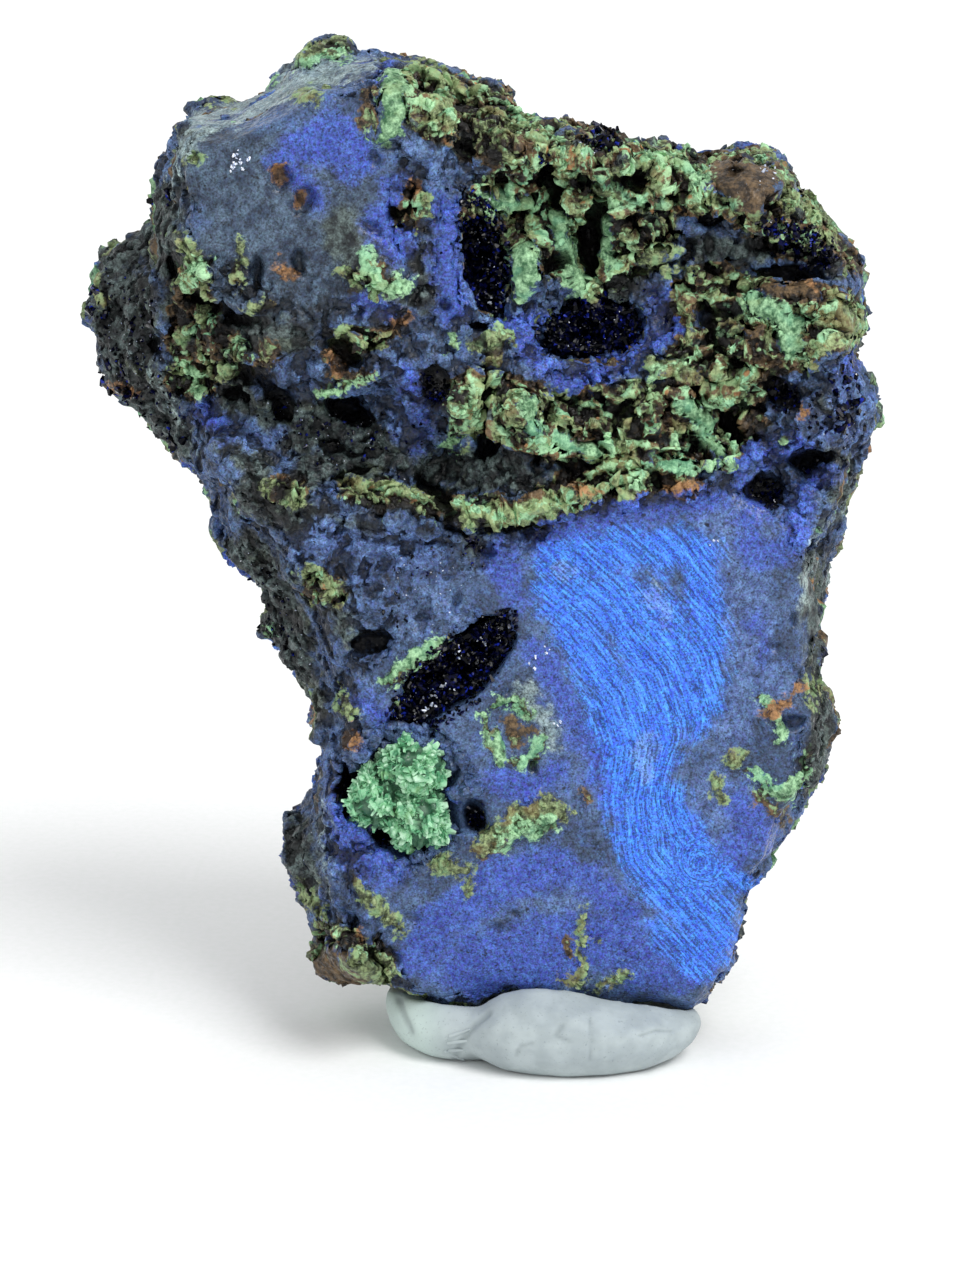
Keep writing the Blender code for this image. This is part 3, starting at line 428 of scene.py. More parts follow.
# %% Pits
PITS = {
    "corner": (193, 158, 5, 7, 0, 0.5), "rust_a": (281, 177, 11, 12, 0, 0.7),
    "rust_b": (304, 200, 10, 14, 10, 0.8), "dark_c": (299, 262, 6, 12, 0, 0.9),
    "dark_d": (257, 274, 6, 18, 0, 0.9), "scratch": (372, 228, 14, 4, 40, 0.6),
    "hole_a": (410, 211, 8, 9, 0, 1.2), "hole_b": (445, 305, 6, 7, 0, 1.0),
    "nick": (375, 157, 5, 8, 0, 0.6), "edge_gap": (392, 147, 10, 4, 0, 0.5),
    "leaf_upper": (344, 356, 20, 10, 38, 2.0), "leaf_lower": (350, 412, 24, 12, 28, 2.6),
    "under_lobe": (272, 392, 26, 9, 30, 2.2),
    "crease_a": (366, 440, 8, 3, -12, 0.8), "crease_b": (352, 455, 10, 3, 10, 0.8),
    "crease_long": (348, 470, 26, 4, -14, 1.2), "slot_diagonal": (438, 490, 22, 8, 42, 2.0),
    "cleft_top": (481, 325, 12, 5, 0, 1.4), "cleft": (484, 404, 8, 36, 0, 2.8),
    "cleft_foot": (485, 446, 10, 14, 15, 2.2), "crystal_pit": (436, 386, 15, 20, 0, 1.3),
    "left_a": (170, 264, 9, 14, 0, 1.2), "left_b": (196, 306, 22, 10, 25, 1.8),
    "left_c": (236, 322, 20, 7, 0, 1.4), "left_d": (254, 378, 22, 8, 0, 1.5),
    "left_e": (284, 412, 14, 14, 0, 2.2), "left_f": (155, 346, 12, 8, 0, 1.1),
    "left_g": (330, 446, 14, 6, 10, 1.2), "left_h": (238, 396, 14, 7, 10, 1.2),
    "tall_slot": (549, 172, 6, 30, 2, 2.2), "deep_slot": (592, 238, 12, 38, 6, 2.8),
    "deep_slot_foot": (603, 286, 6, 16, -12, 2.0), "gap_a": (560, 200, 14, 7, 10, 1.6),
    "gap_b": (556, 265, 9, 14, 0, 1.9), "facet_gap": (510, 212, 20, 5, 4, 1.6),
    "cell_a": (631, 224, 14, 12, 0, 2.0), "cell_b": (640, 180, 20, 14, 12, 1.7),
    "crack_a": (664, 238, 22, 5, -28, 1.6), "crack_b": (655, 269, 22, 3, -20, 1.0),
    "pit_g": (711, 221, 11, 7, 0, 1.5), "blue_vug": (687, 256, 8, 17, 30, 1.2),
    # facet_tone sinks nothing: it only darkens the big brown facet to its darker limonite tone, through the
    # shade of its floor.
    "facet_eye": (735, 176, 5, 5, 0, 1.0), "facet_tone": (744, 190, 34, 24, 0, 0.0),
    "pit_h": (775, 208, 9, 10, 40, 1.2),
    "undercut": (786, 272, 36, 8, 4, 2.2), "pit_i": (708, 322, 9, 26, 0, 1.9),
    "oval_a": (747, 346, 9, 5, 30, 1.2), "long_slot": (716, 386, 26, 5, 0, 1.8),
    "pair_slot": (712, 358, 14, 6, -10, 1.3), "diamond": (731, 428, 8, 20, -28, 2.6),
    "blue_pocket": (780, 394, 15, 13, 0, 1.3), "dark_slot": (810, 462, 22, 7, -6, 2.2),
    "small_eye": (846, 464, 5, 5, 0, 1.0), "terrace_pit": (766, 490, 18, 13, 0, 1.4),
    "centre_a": (616, 326, 16, 22, 0, 2.4), "centre_b": (575, 342, 20, 9, 0, 1.3),
    "pit_j": (516, 442, 8, 5, 25, 1.4), "pit_k": (556, 402, 8, 3, 10, 0.9),
    "pit_l": (545, 420, 5, 5, 0, 0.9), "pit_m": (632, 408, 8, 4, 20, 1.0),
    "pit_n": (600, 404, 5, 5, 0, 0.8), "oval_hole": (370, 643, 20, 9, -8, 1.6),
    "pin_a": (488, 553, 8, 6, 0, 0.7), "pin_b": (458, 600, 11, 4, -62, 0.6),
    "pin_c": (421, 619, 7, 4, 0, 0.5), "pin_d": (533, 765, 5, 6, 0, 0.7),
    "pin_e": (789, 722, 10, 7, 0, 0.9), "pin_f": (774, 645, 7, 4, 0, 0.5),
    "pin_g": (793, 620, 4, 8, 0, 0.5), "pin_h": (515, 912, 6, 4, 0, 0.5),
    "pin_i": (499, 928, 4, 5, 0, 0.5), "pin_j": (412, 917, 10, 4, 10, 0.5),
    "foot_hole": (323, 939, 9, 15, 15, 2.2), "nook_a": (349, 790, 13, 22, 0, 2.0),
    "nook_b": (388, 830, 20, 11, 0, 2.2), "nook_c": (476, 818, 9, 15, -20, 1.6),
    "ledge_shadow": (510, 533, 36, 4, -4, 0.7), "ledge_notch": (455, 535, 14, 5, 20, 0.8),
}
print(len(PITS), "pits")

# %% [markdown]
# Someone has ground parts of this stone flat: the block at its upper left, the bevel above it and the
# whole lower face.  There the skin stays even, and everywhere else it is broken and crumbly.  Bare
# spots are plain facets inside the crust.  A tug pulls a round area by a few grid units, to trim the
# outline: u, v, reach, and the pull along u and v.  A swirl turns the grain of the bright band round a
# centre, within a reach.

# %% Ground faces, crust ground, tugs and the grain of the bright band
GROUND_FACES = [
    [(218, 168, 38), (300, 132, 50), (352, 150, 50)],
    [(228, 222, 44), (350, 222, 56)],
    [(290, 268, 30), (372, 268, 36)],
    [(449, 200, 13), (447, 312, 15)],
    [(205, 122, 14), (286, 92, 18), (366, 64, 12)],
    [(588, 562, 44), (740, 548, 56)],
    [(440, 600, 46), (740, 610, 84)],
    [(420, 700, 60), (690, 710, 116)],
    [(520, 770, 90), (690, 790, 110)],
    [(420, 880, 60), (640, 880, 84)],
    [(440, 950, 46), (690, 950, 40)], [(714, 900, 36), (722, 952, 26)], [(560, 990, 20), (690, 992, 20)],
]
WORN_FACES = [
    [(360, 570, 50), (450, 640, 44)], [(352, 700, 36), (350, 860, 40)], [(250, 290, 30), (370, 290, 30)],
    [(440, 560, 40), (560, 530, 14)],
]
GREY_BLOCK = [[(215, 170, 44), (300, 200, 70), (340, 240, 60)], [(240, 260, 50), (300, 300, 40)]]
CRUST_GROUND = [
    [(400, 90, 26), (450, 110, 36), (560, 150, 44), (640, 170, 50), (740, 175, 44), (800, 225, 40)],
    [(500, 215, 40), (600, 240, 56), (640, 220, 40)], [(712, 300, 40), (790, 325, 46), (850, 320, 30)],
    [(470, 400, 30), (560, 425, 44), (660, 425, 46), (725, 420, 40)], [(690, 360, 30), (740, 370, 40)],
    [(192, 376, 26), (186, 270, 16), (232, 362, 16)], [(340, 348, 18), (390, 334, 12)],
    [(350, 490, 14), (430, 505, 16), (520, 515, 16), (600, 480, 26), (680, 470, 18)],
    [(330, 950, 30), (370, 965, 24)], [(412, 210, 22)],
    [(372, 275, 16)], [(290, 490, 20)], [(322, 585, 24)],
]
BARE = [
    [(722, 178, 16), (742, 184, 22), (750, 204, 16)], [(766, 184, 14)], [(522, 256, 12), (526, 282, 15)],
    [(645, 260, 8), (664, 258, 7)], [(205, 122, 14), (286, 92, 18), (366, 64, 12)],
    [(394, 84, 12), (392, 130, 12)], [(328, 962, 14), (372, 976, 12)], [(498, 222, 8)],
    [(766, 290, 7), (812, 293, 8)], [(506, 722, 9), (532, 732, 8)], [(702, 318, 7)], [(753, 332, 7)],
    [(404, 664, 8), (432, 648, 6)], [(520, 145, 9)],
    [(556, 218, 6), (566, 252, 7), (580, 286, 9)], [(480, 196, 4), (530, 205, 6)],
    [(600, 186, 6), (636, 206, 6)], [(604, 222, 5), (606, 262, 6)],
    [(756, 304, 8), (794, 322, 10), (790, 348, 9)], [(652, 366, 5), (690, 372, 7)],
    [(560, 440, 8), (596, 452, 7)], [(528, 404, 7), (532, 432, 7)], [(700, 432, 5), (718, 452, 7)],
    [(650, 460, 5), (690, 467, 5)], [(836, 308, 8), (850, 326, 8)], [(548, 384, 7), (572, 388, 8)],
    [(680, 402, 8), (704, 420, 9)],
]
TUGS = [
    (560, 985, 70, 0, 10), (680, 985, 60, 8, 12), (440, 985, 50, 0, 8), (806, 712, 34, 12, 0),
    (838, 390, 80, 5, 0), (800, 180, 50, 5, -4), (735, 146, 50, 0, -5), (180, 110, 44, -6, -5),
    (212, 92, 12, 0, -10), (88, 300, 50, -6, 0), (262, 628, 30, -6, 0), (292, 850, 40, -5, 0),
    (330, 45, 30, 0, -3),
]
BAND_LINE = [(510, 548), (588, 618), (640, 684), (660, 744), (650, 800), (656, 852), (700, 902), (748, 955)]
SWIRLS = [(729, 792, 80), (700, 862, 30)]
print(len(GROUND_FACES), "ground faces,", len(CRUST_GROUND), "strokes of crust ground")

# %% [markdown]
# ## Helpers for measuring on the surface
# Arrays hold one row per vertex.  A trail is measured as a chain of round-ended strokes, which gives a
# distance in grid units: above zero inside the stroke, below zero outside it.

# %% Distances to trails, pits and the band line


def inside_trail(u, v, trail):
    """How far inside a stroke each point lies, in grid units, negative outside."""
    stops = list(trail) if len(trail) > 1 else list(trail) * 2
    best = np.full(len(u), -999.0)
    for (u0, v0, r0), (u1, v1, r1) in zip(stops, stops[1:]):
        run = (u1 - u0, v1 - v0)
        length = max(run[0] ** 2 + run[1] ** 2, 1e-6)
        part = np.clip(((u - u0) * run[0] + (v - v0) * run[1]) / length, 0.0, 1.0)
        away = np.hypot(u - u0 - run[0] * part, v - v0 - run[1] * part)
        best = np.maximum(best, r0 + (r1 - r0) * part - away)
    return best


def inside_any(u, v, trails):
    """The deepest cover of several strokes."""
    best = np.full(len(u), -999.0)
    for trail in trails:
        best = np.maximum(best, inside_trail(u, v, trail))
    return best


def smooth_step(low, high, value):
    """0 below low, 1 above high, with a soft ramp between."""
    part = np.clip((value - low) / (high - low), 0.0, 1.0)
    return part * part * (3.0 - 2.0 * part)


def inside_pit(u, v, pit):
    """1 at the floor of an oval pit, 0 outside it."""
    centre_u, centre_v, half_width, half_height, turn, _ = pit
    angle = math.radians(turn)
    across = (u - centre_u) * math.cos(angle) + (v - centre_v) * math.sin(angle)
    down = (v - centre_v) * math.cos(angle) - (u - centre_u) * math.sin(angle)
    return 1.0 - smooth_step(0.70, 1.35, np.hypot(across / half_width, down / half_height))


def along_line(u, v, line):
    """Signed distance across a line and length along it, both in millimetres."""
    nearest = np.full(len(u), 1e9)
    across = np.zeros(len(u))
    along = np.zeros(len(u))
    walked = 0.0
    for (u0, v0), (u1, v1) in zip(line, line[1:]):
        length = math.hypot(u1 - u0, v1 - v0)
        step_u, step_v = (u1 - u0) / length, (v1 - v0) / length
        part = np.clip((u - u0) * step_u + (v - v0) * step_v, 0.0, length)
        away = np.hypot(u - u0 - step_u * part, v - v0 - step_v * part)
        side = np.sign((u - u0) * step_v - (v - v0) * step_u)
        closer = away < nearest
        nearest = np.where(closer, away, nearest)
        across = np.where(closer, away * side, across)
        along = np.where(closer, walked + part, along)
        walked += length
    for centre_u, centre_v, reach in SWIRLS:
        away = np.hypot(u - centre_u, v - centre_v)
        share = 1.0 - smooth_step(0.25, 1.0, away / reach)
        across = across * (1.0 - share) + (away + 20.0) * share
        along = along * (1.0 - share)
    return across / GRID_PER_MM, along / GRID_PER_MM


# %% [markdown]
# Noise comes from Blender's own library, sampled at each vertex.  Fractal noise gives soft uneven
# ground.  Cells give broken lumps: flat-topped blocks with grooves between them, each at its own height.
# The library starts from the clock unless it is seeded, and a seed gives the same stone each run.

# %% Noise on the surface
NOISE_SEED = 7
noise.seed_set(NOISE_SEED)


def fractal_at(points, size, octaves=4, shift=0.0):
    """Fractal noise with swells of the given size in millimetres."""
    move = Vector((shift, shift * 0.7, -shift))
    return np.array([noise.fractal(Vector(point) / size + move, 0.8, 2.1, octaves) for point in points])


def lumps_at(points, size, wobble=0.35):
    """Broken lumps: 1 on a block and 0 in the groove beside it, and a height for each block."""
    tops = np.empty(len(points))
    heights = np.empty(len(points))
    for index, point in enumerate(points):
        place = Vector(point) / size
        place += noise.noise_vector(place * 1.3) * wobble
        gaps, centres = noise.voronoi(place)
        tops[index] = gaps[1] - gaps[0]
        heights[index] = noise.cell(centres[0] * 5.7)
    return smooth_step(0.02, 0.30, tops), heights


print("noise at the origin:", round(noise.fractal(Vector((0.3, 0.2, 0.1)), 0.8, 2.1, 4), 3))

# %% [markdown]
# ## Helpers for meshes
# A CAD node is loose triangles, so a copy is merged before anything else is done to it.  The voxel
# remesh then lays an even net of small faces over the same solid, which noise can move freely.

# %% Copy, remesh and settle
MERGE_DISTANCE = 1e-7


def new_piece(shell, name):
    """A piece at the origin made from a bmesh, linked to the scene."""
    mesh = bpy.data.meshes.new(name)
    shell.to_mesh(mesh)
    shell.free()
    piece = bpy.data.objects.new(name, mesh)
    bpy.context.scene.collection.objects.link(piece)
    return piece


def merged_copy(node, name):
    """A CAD node's solid as one closed mesh of our own."""
    shell = bmesh.new()
    shell.from_mesh(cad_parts[node].data)
    bmesh.ops.remove_doubles(shell, verts=shell.verts, dist=MERGE_DISTANCE)
    return new_piece(shell, name)


def settle(piece):
    """Apply a piece's modifiers to its mesh."""
    graph = bpy.context.evaluated_depsgraph_get()
    mesh = bpy.data.meshes.new_from_object(piece.evaluated_get(graph))
    old = piece.data
    piece.modifiers.clear()
    piece.data = mesh
    bpy.data.meshes.remove(old)
    mesh.name = piece.name


def remesh(piece, voxel, rounds=0, strength=0.5):
    """Lay an even net of faces over a solid, and smooth it a little."""
    voxels = piece.modifiers.new("net", "REMESH")
    voxels.mode = "VOXEL"
    voxels.voxel_size = voxel * MM
    voxels.use_smooth_shade = True
    if rounds:
        soften = piece.modifiers.new("soften", "SMOOTH")
        soften.factor = strength
        soften.iterations = rounds
    settle(piece)


def read_skin(piece):
    """Vertex places in millimetres and their normals."""
    count = len(piece.data.vertices)
    places = np.empty(count * 3)
    normals = np.empty(count * 3)
    piece.data.vertices.foreach_get("co", places)
    piece.data.vertex_normals.foreach_get("vector", normals)
    return places.reshape(-1, 3) / MM, normals.reshape(-1, 3)


def write_skin(piece, places):
    """Put vertices back at new places given in millimetres."""
    piece.data.vertices.foreach_set("co", (places * MM).ravel())
    piece.data.update()


def unit(rows):
    """Each row at length one."""
    return rows / np.linalg.norm(rows, axis=1, keepdims=True)


def facing_eye(places, normals):
    """1 where the skin looks at the viewer, 0 where it is edge on, below 0 where it is turned away."""
    return (normals * unit(np.array(EYE) - places)).sum(axis=1)


def triangles(piece):
    """Triangle count of a piece."""
    return sum(len(face.vertices) - 2 for face in piece.data.polygons)


# %% [markdown]
# ## The stone's body
# The real stone is one solid.  Its big forms are in the frame already, so the piece starts as a fine
# net over that solid, denser in front than behind.  Then it is weathered in one pass: blocks and
# grooves where it is broken, low relief where it was ground, the crusts raised and the pits sunk.

# %% Net over the stone
BODY_VOXEL = 0.29
BODY_SOFTENING = 4
GROUND_SOFTENING = 26
KEPT_SHARE = 0.71
AWAY_FACING = -0.15
EVEN_FACING = 0.72
EVEN_MARGIN = 6.0

body = merged_copy("stone", "stone_body")
remesh(body, BODY_VOXEL, BODY_SOFTENING)
places, normals = read_skin(body)
print("net before thinning:", triangles(body), "triangles")
turned_away = body.vertex_groups.new(name="turned away")
away_rows = np.nonzero(facing_eye(places, normals) < AWAY_FACING)[0]
turned_away.add([int(row) for row in away_rows], 1.0, "REPLACE")
print("turned away:", len(away_rows), "of", len(places))
thin = body.modifiers.new("fewer faces behind", "DECIMATE")
thin.ratio = KEPT_SHARE
thin.vertex_group = "turned away"
thin.vertex_group_factor = 1.0
settle(body)
places, normals = read_skin(body)
inner = inside_any(*to_grid(places), GROUND_FACES) > -EVEN_MARGIN
inner &= facing_eye(places, normals) > EVEN_FACING
even = body.vertex_groups.new(name="ground even")
even.add([int(row) for row in np.nonzero(inner)[0]], 1.0, "REPLACE")
soften = body.modifiers.new("even the ground faces", "SMOOTH")
soften.factor = 0.5
soften.iterations = GROUND_SOFTENING
soften.vertex_group = "ground even"
settle(body)
print("stone net:", len(body.data.vertices), "vertices,", triangles(body), "triangles")

# %% Weather the stone
OUTWARD_LIMIT = 0.75
HOLE_DEPTH = 1.1
SWELLING = 0.22
RAISE = {"mint": 0.26, "olive": 0.26, "brown": 0.14, "rust": 0.02}
SINK = {"crust": 0.78, "rubble": 0.38, "patch": 0.16}
RELIEF = {"crust": 1.50, "rubble": 0.84, "patch": 0.36}


def mineral_trails(mineral):
    """All strokes of one mineral, its walls among them."""
    strokes = [trail for kind, trail in PATCHES.values() if kind == mineral]
    return strokes + [[(u, v, 3.5) for u, v in line] for kind, line, _ in WALLS.values() if kind == mineral]


def kinds_of_ground(places, normals):
    """How much each spot is seen, ground flat, crusted, rubble, patched and bare, from 0 to 1."""
    facing = smooth_step(-0.05, 0.20, facing_eye(places, normals))
    u, v = to_grid(places)
    u_edge = u + fractal_at(places, 1.1, 3, 3.1) * 7.0
    v_edge = v + fractal_at(places, 1.1, 3, 8.4) * 7.0
    ground = smooth_step(-10.0, 14.0, inside_any(u_edge, v_edge, GROUND_FACES)) * facing
    worn = smooth_step(-14.0, 14.0, inside_any(u_edge, v_edge, WORN_FACES)) * facing
    bare = smooth_step(-5.0, 3.0, inside_any(u_edge, v_edge, BARE)) * facing
    crusty = smooth_step(-12.0, 10.0, inside_any(u_edge, v_edge, CRUST_GROUND)) * facing * (1.0 - bare)
    rough = np.maximum(1.0 - 0.94 * ground, 0.52 * worn)
    rubble = smooth_step(0.25, 0.80, rough) * facing * (1.0 - crusty) * (1.0 - bare)
    strokes = [trail for mineral in RAISE for trail in mineral_trails(mineral)]
    patch = smooth_step(-5.0, 5.0, inside_any(u_edge, v_edge, strokes)) * facing
    patch *= (1.0 - crusty) * (1.0 - rubble) * (1.0 - bare)
    return {"facing": facing, "ground": ground * (1.0 - 0.6 * worn), "crust": crusty, "rough": rough,
            "rubble": rubble, "patch": patch, "bare": bare}


def weather(piece):
    """Break, raise and sink the skin, and return what the later steps need to know about it."""
    places, normals = read_skin(piece)
    kinds = kinds_of_ground(places, normals)
    facing, crusty, ground = kinds["facing"], kinds["crust"], kinds["ground"]
    rough = np.maximum(kinds["rough"], 0.9 * crusty) * (1.0 - 0.9 * kinds["bare"])
    u, v = to_grid(places)
    warp_u = fractal_at(places, 1.1, 3, 3.1)
    warp_v = fractal_at(places, 1.1, 3, 8.4)

    swell = fractal_at(places, 2.6, 4)
    grain = fractal_at(places, 0.55, 3, 5.0)
    big_tops, big_heights = lumps_at(places, 1.9)
    small_tops, small_heights = lumps_at(places, 0.85, 0.5)
    lift = rough * (0.28 * swell + (big_heights - 0.5) * 0.50 * big_tops - 0.26 * (1.0 - big_tops))
    lift += SWELLING * (1.0 - ground)
    own = rough * (1.0 - 0.8 * np.maximum(crusty, kinds["rubble"]))
    lift += own * ((small_heights - 0.5) * 0.30 * small_tops - 0.15 * (1.0 - small_tops))
    lift += (0.012 + 0.12 * own) * grain
    lift += 0.045 * ground * swell
    holes = crusty * smooth_step(0.18, 0.36, fractal_at(places, 1.5, 3, 41.0))

    for mineral, height in RAISE.items():
        cover = inside_any(u + warp_u * 7.0, v + warp_v * 7.0, mineral_trails(mineral))
        lift += facing * height * smooth_step(-3.0, 6.0, cover)
    lift = np.minimum(lift, OUTWARD_LIMIT)
    sink = sum(SINK[kind] * kinds[kind] for kind in SINK)
    relief = sum(RELIEF[kind] * kinds[kind] for kind in RELIEF)

    sunk = holes * HOLE_DEPTH
    floor = holes * 0.9
    for pit in PITS.values():
        inside = inside_pit(u + warp_u * 2.5, v + warp_v * 2.5, pit) * facing
        sunk = np.maximum(sunk, inside * pit[5])
        floor = np.maximum(floor, inside * min(1.0, 0.35 + pit[5] / 2.0))
    sight = unit(places - np.array(EYE))
    rise = lift * (1.0 - 0.7 * floor) - sink
    moved = places + normals * rise[:, None] + sight * sunk[:, None]
    for at_u, at_v, reach, pull_u, pull_v in TUGS:
        near = 1.0 - smooth_step(0.0, 1.0, np.hypot(u - at_u, v - at_v) / reach)
        near *= smooth_step(-0.9, -0.2, facing_eye(places, normals))
        pull = np.array(RIGHT * pull_u - UP * pull_v) / GRID_PER_MM
        moved += near[:, None] * pull
    write_skin(piece, moved)
    groove = own * np.maximum(1.0 - big_tops, 0.7 * (1.0 - small_tops))
    kinds.update({"floor": floor, "groove": groove, "sink": sink, "relief": relief})
    return kinds


body_skin = weather(body)
print("weathered; deepest floor share", round(float(body_skin["floor"].max()), 2))

# %% [markdown]
# The broken ground needs more than the body's net can carry.  So those parts of the body were sunk a
# little, and here the same faces come back as a finer net of their own that stands up from them again:
# thin walls round open cells, some of the cells filled, as leaching leaves them.

# %% Fine net over the broken ground
CUTS = 2
LEAST_SINK = 0.03
BLUNTING = 0.35
CELL_SIZES = (2.1, 0.80)
OPEN_SHARE = 0.50
RIDGE_HEIGHT = 0.62
CARRIED = ("sink", "relief", "floor")


def cell_walls(points, size, wobble, thick):
    """Walls between cells, and how full each cell is, both from 0 to 1."""
    gaps = np.empty(len(points))
    fills = np.empty(len(points))
    for index, point in enumerate(points):
        place = Vector((point[0], point[1], point[2] * 0.8)) / size
        place += noise.noise_vector(place * 0.9) * wobble
        place += noise.noise_vector(place * 2.9) * wobble * 0.4
        reach, centres = noise.voronoi(place)
        gaps[index] = reach[1] - reach[0]
        fills[index] = 0.5 + 0.5 * noise.cell(centres[0] * 5.7)
    return np.clip(1.0 - gaps / thick, 0.0, 1.0), fills


def broken_level(points, coarse):
    """The relief of broken ground: 0 in an open cell, 1 on the top of a wall."""
    walls, fills = cell_walls(points, CELL_SIZES[0], 0.5, 0.19)
    small_walls, small_fills = cell_walls(points, CELL_SIZES[1], 0.5, 0.12)
    swell = fractal_at(points, 1.5, 2, 19.0)
    level = np.where(fills < OPEN_SHARE, 0.06 + 0.20 * swell, 0.34 + 0.66 * swell)
    level = np.maximum(level, walls * (0.74 + 0.50 * swell))
    open_floor = 0.12 * smooth_step(0.1, 0.4, coarse)
    small = np.where(small_fills < 0.34, open_floor, 0.45) + 0.50 * swell
    level = coarse * level + (1.0 - coarse) * small
    level += 0.11 * small_walls
    level += 0.15 * fractal_at(points, 0.34, 3, 12.0)
    return np.clip(level, 0.0, 1.0)


def ridges_at(u, v):
    """How high the walls of the boxwork stand at each spot, in millimetres."""
    ridge = np.zeros(len(u))
    for _, line, height in WALLS.values():
        gap = -inside_trail(u, v, [(line_u, line_v, 0.0) for line_u, line_v in line])
        ridge = np.maximum(ridge, (1.0 - smooth_step(1.0, 5.5, gap)) * height)
    return ridge


def keep_number(piece, name, column):
    """Keep one number per vertex on a piece."""
    layer = piece.data.attributes.new(name, "FLOAT", "POINT")
    layer.data.foreach_set("value", column.astype(np.float32))


def take_number(piece, name):
    """Read a number per vertex back and drop it from the piece."""
    layer = piece.data.attributes[name]
    column = np.empty(len(piece.data.vertices), dtype=np.float32)
    layer.data.foreach_get("value", column)
    piece.data.attributes.remove(layer)
    return column.astype(float)


def part_of(piece, name, chosen, cuts=0):
    """The chosen faces of a piece again as a piece of their own, and finer where cuts are asked."""
    shell = bmesh.new()
    shell.from_mesh(piece.data)
    spare = [face for face, wanted in zip(shell.faces, chosen) if not wanted]
    bmesh.ops.delete(shell, geom=spare, context="FACES")
    if cuts:
        bmesh.ops.subdivide_edges(shell, edges=shell.edges[:], cuts=cuts, use_grid_fill=True)
    return new_piece(shell, name)


def raise_net(piece):
    """Raise the walls of a fine net, and return what its colours need."""
    sink, relief, floor = (take_number(piece, name) for name in CARRIED)
    places, normals = read_skin(piece)
    u, v = to_grid(places)
    level = broken_level(places, np.clip(relief / RELIEF["crust"] * 2.2 - 1.2, 0.0, 1.0))
    ridge = ridges_at(u + fractal_at(places, 0.9, 2, 3.1) * 3.0, v + fractal_at(places, 0.9, 2, 8.4) * 3.0)
    ridge *= np.clip(relief / RELIEF["patch"], 0.0, 1.0)
    open_part = smooth_step(0.05, 0.50, floor)
    offset = (sink + relief * (level - 0.36)) * (1.0 - open_part)
    offset = np.maximum(offset, 0.02) + RIDGE_HEIGHT * ridge * (1.0 - 0.8 * open_part)
    rim = smooth_step(0.04, 0.14, sink)
    offset = offset * rim - 0.07 * (1.0 - rim)
    outward = unit(normals * 0.4 + unit(np.array(EYE) - places) * 0.6)
    write_skin(piece, places + outward * offset[:, None])
    soften = piece.modifiers.new("blunt the tips", "SMOOTH")
    soften.factor = BLUNTING
    soften.iterations = 1
    settle(piece)
    level = np.maximum(level, smooth_step(0.1, 0.6, ridge) * 0.9)
    level = 0.5 + (level - 0.5) * np.clip(relief / RELIEF["rubble"], 0.0, 1.0)
    return {"level": level, "floor": floor, "relief": relief}


for number in CARRIED:
    keep_number(body, number, body_skin[number])
first_corner = np.array([face.vertices[0] for face in body.data.polygons])
broken = body_skin["sink"][first_corner] > LEAST_SINK
fine_net = part_of(body, "broken_ground", broken, CUTS)
net_skin = raise_net(fine_net)
for number in CARRIED:
    take_number(body, number)
print("fine net:", triangles(fine_net), "triangles")

# %% [markdown]
# ## Where each colour goes
# Every vertex gets a number for each tone and mineral: above one half inside its patch, below it
# outside.  The material then draws the edge itself with fine noise, far finer than the net.  On the
# sides and the back, which no trail reaches, broad noise spreads the same minerals.  Each mineral has
# the size of its swells, a shift that keeps it apart from the others, and how common it is.  Low
# ground loses the light minerals: between which two levels, and how much of the cover goes.

# %% Paint the covers
COVER_SPAN = 45.0
BACK_SPREAD = {
    "royal": (6.0, 21.0, 0.37), "violet": (5.0, 33.0, 0.38), "bright": (4.0, 14.0, 0.12),
    "charcoal": (7.0, 2.0, 0.70), "pale_and_sheen": (3.0, 5.0, 0.20), "black": (2.2, 9.0, 0.24),
    "mint": (3.6, 12.0, 0.32), "olive": (4.2, 17.0, 0.38), "brown": (4.8, 26.0, 0.42),
    "rust": (2.4, 37.0, 0.22),
}
CRUST_MIX = {"mint": (1.1, 51.0, 0.46), "olive": (1.4, 57.0, 0.56), "brown": (1.9, 63.0, 0.70),
             "rust": (0.9, 69.0, 0.16)}
LOW_SHARE = {"mint": (0.26, 0.56, 0.36), "olive": (0.16, 0.44, 0.40), "brown": (0.0, 0.1, 0.0),
             "rust": (0.0, 0.1, 0.0)}


def mixed_crust(points, crusty, mineral):
    """Cover of one mineral where the ground is all crust: patches of every kind, side by side."""
    size, shift, level = CRUST_MIX[mineral]
    spread = np.clip(level + 0.50 * fractal_at(points, size, 3, shift), 0.0, 1.0)
    return spread * crusty


def cover_of(name, points, u, v, front, trails):
    """Cover of one tone: from its trails in front, and from broad noise elsewhere."""
    seen = np.clip(0.5 + inside_any(u, v, trails) / COVER_SPAN, 0.0, 1.0)
    if np.min(front) == 1.0:
        return seen
    size, shift, level = BACK_SPREAD[name]
    spread = level + 0.50 * fractal_at(points, size, 3, shift)
    spread = spread + 0.30 * fractal_at(points, 11.0, 2, shift + 40.0)
    return front * seen + (1.0 - front) * np.clip(spread, 0.0, 1.0)


def store(piece, name, columns, kind="FLOAT_COLOR"):
    """Keep up to four numbers per vertex under one attribute name."""
    layer = piece.data.attributes.new(name, kind, "POINT")
    width = 4 if kind == "FLOAT_COLOR" else 3
    table = np.zeros((len(columns[0]), width))
    for index, column in enumerate(columns):
        table[:, index] = column
    layer.data.foreach_set("color" if width == 4 else "vector", table.astype(np.float32).ravel())


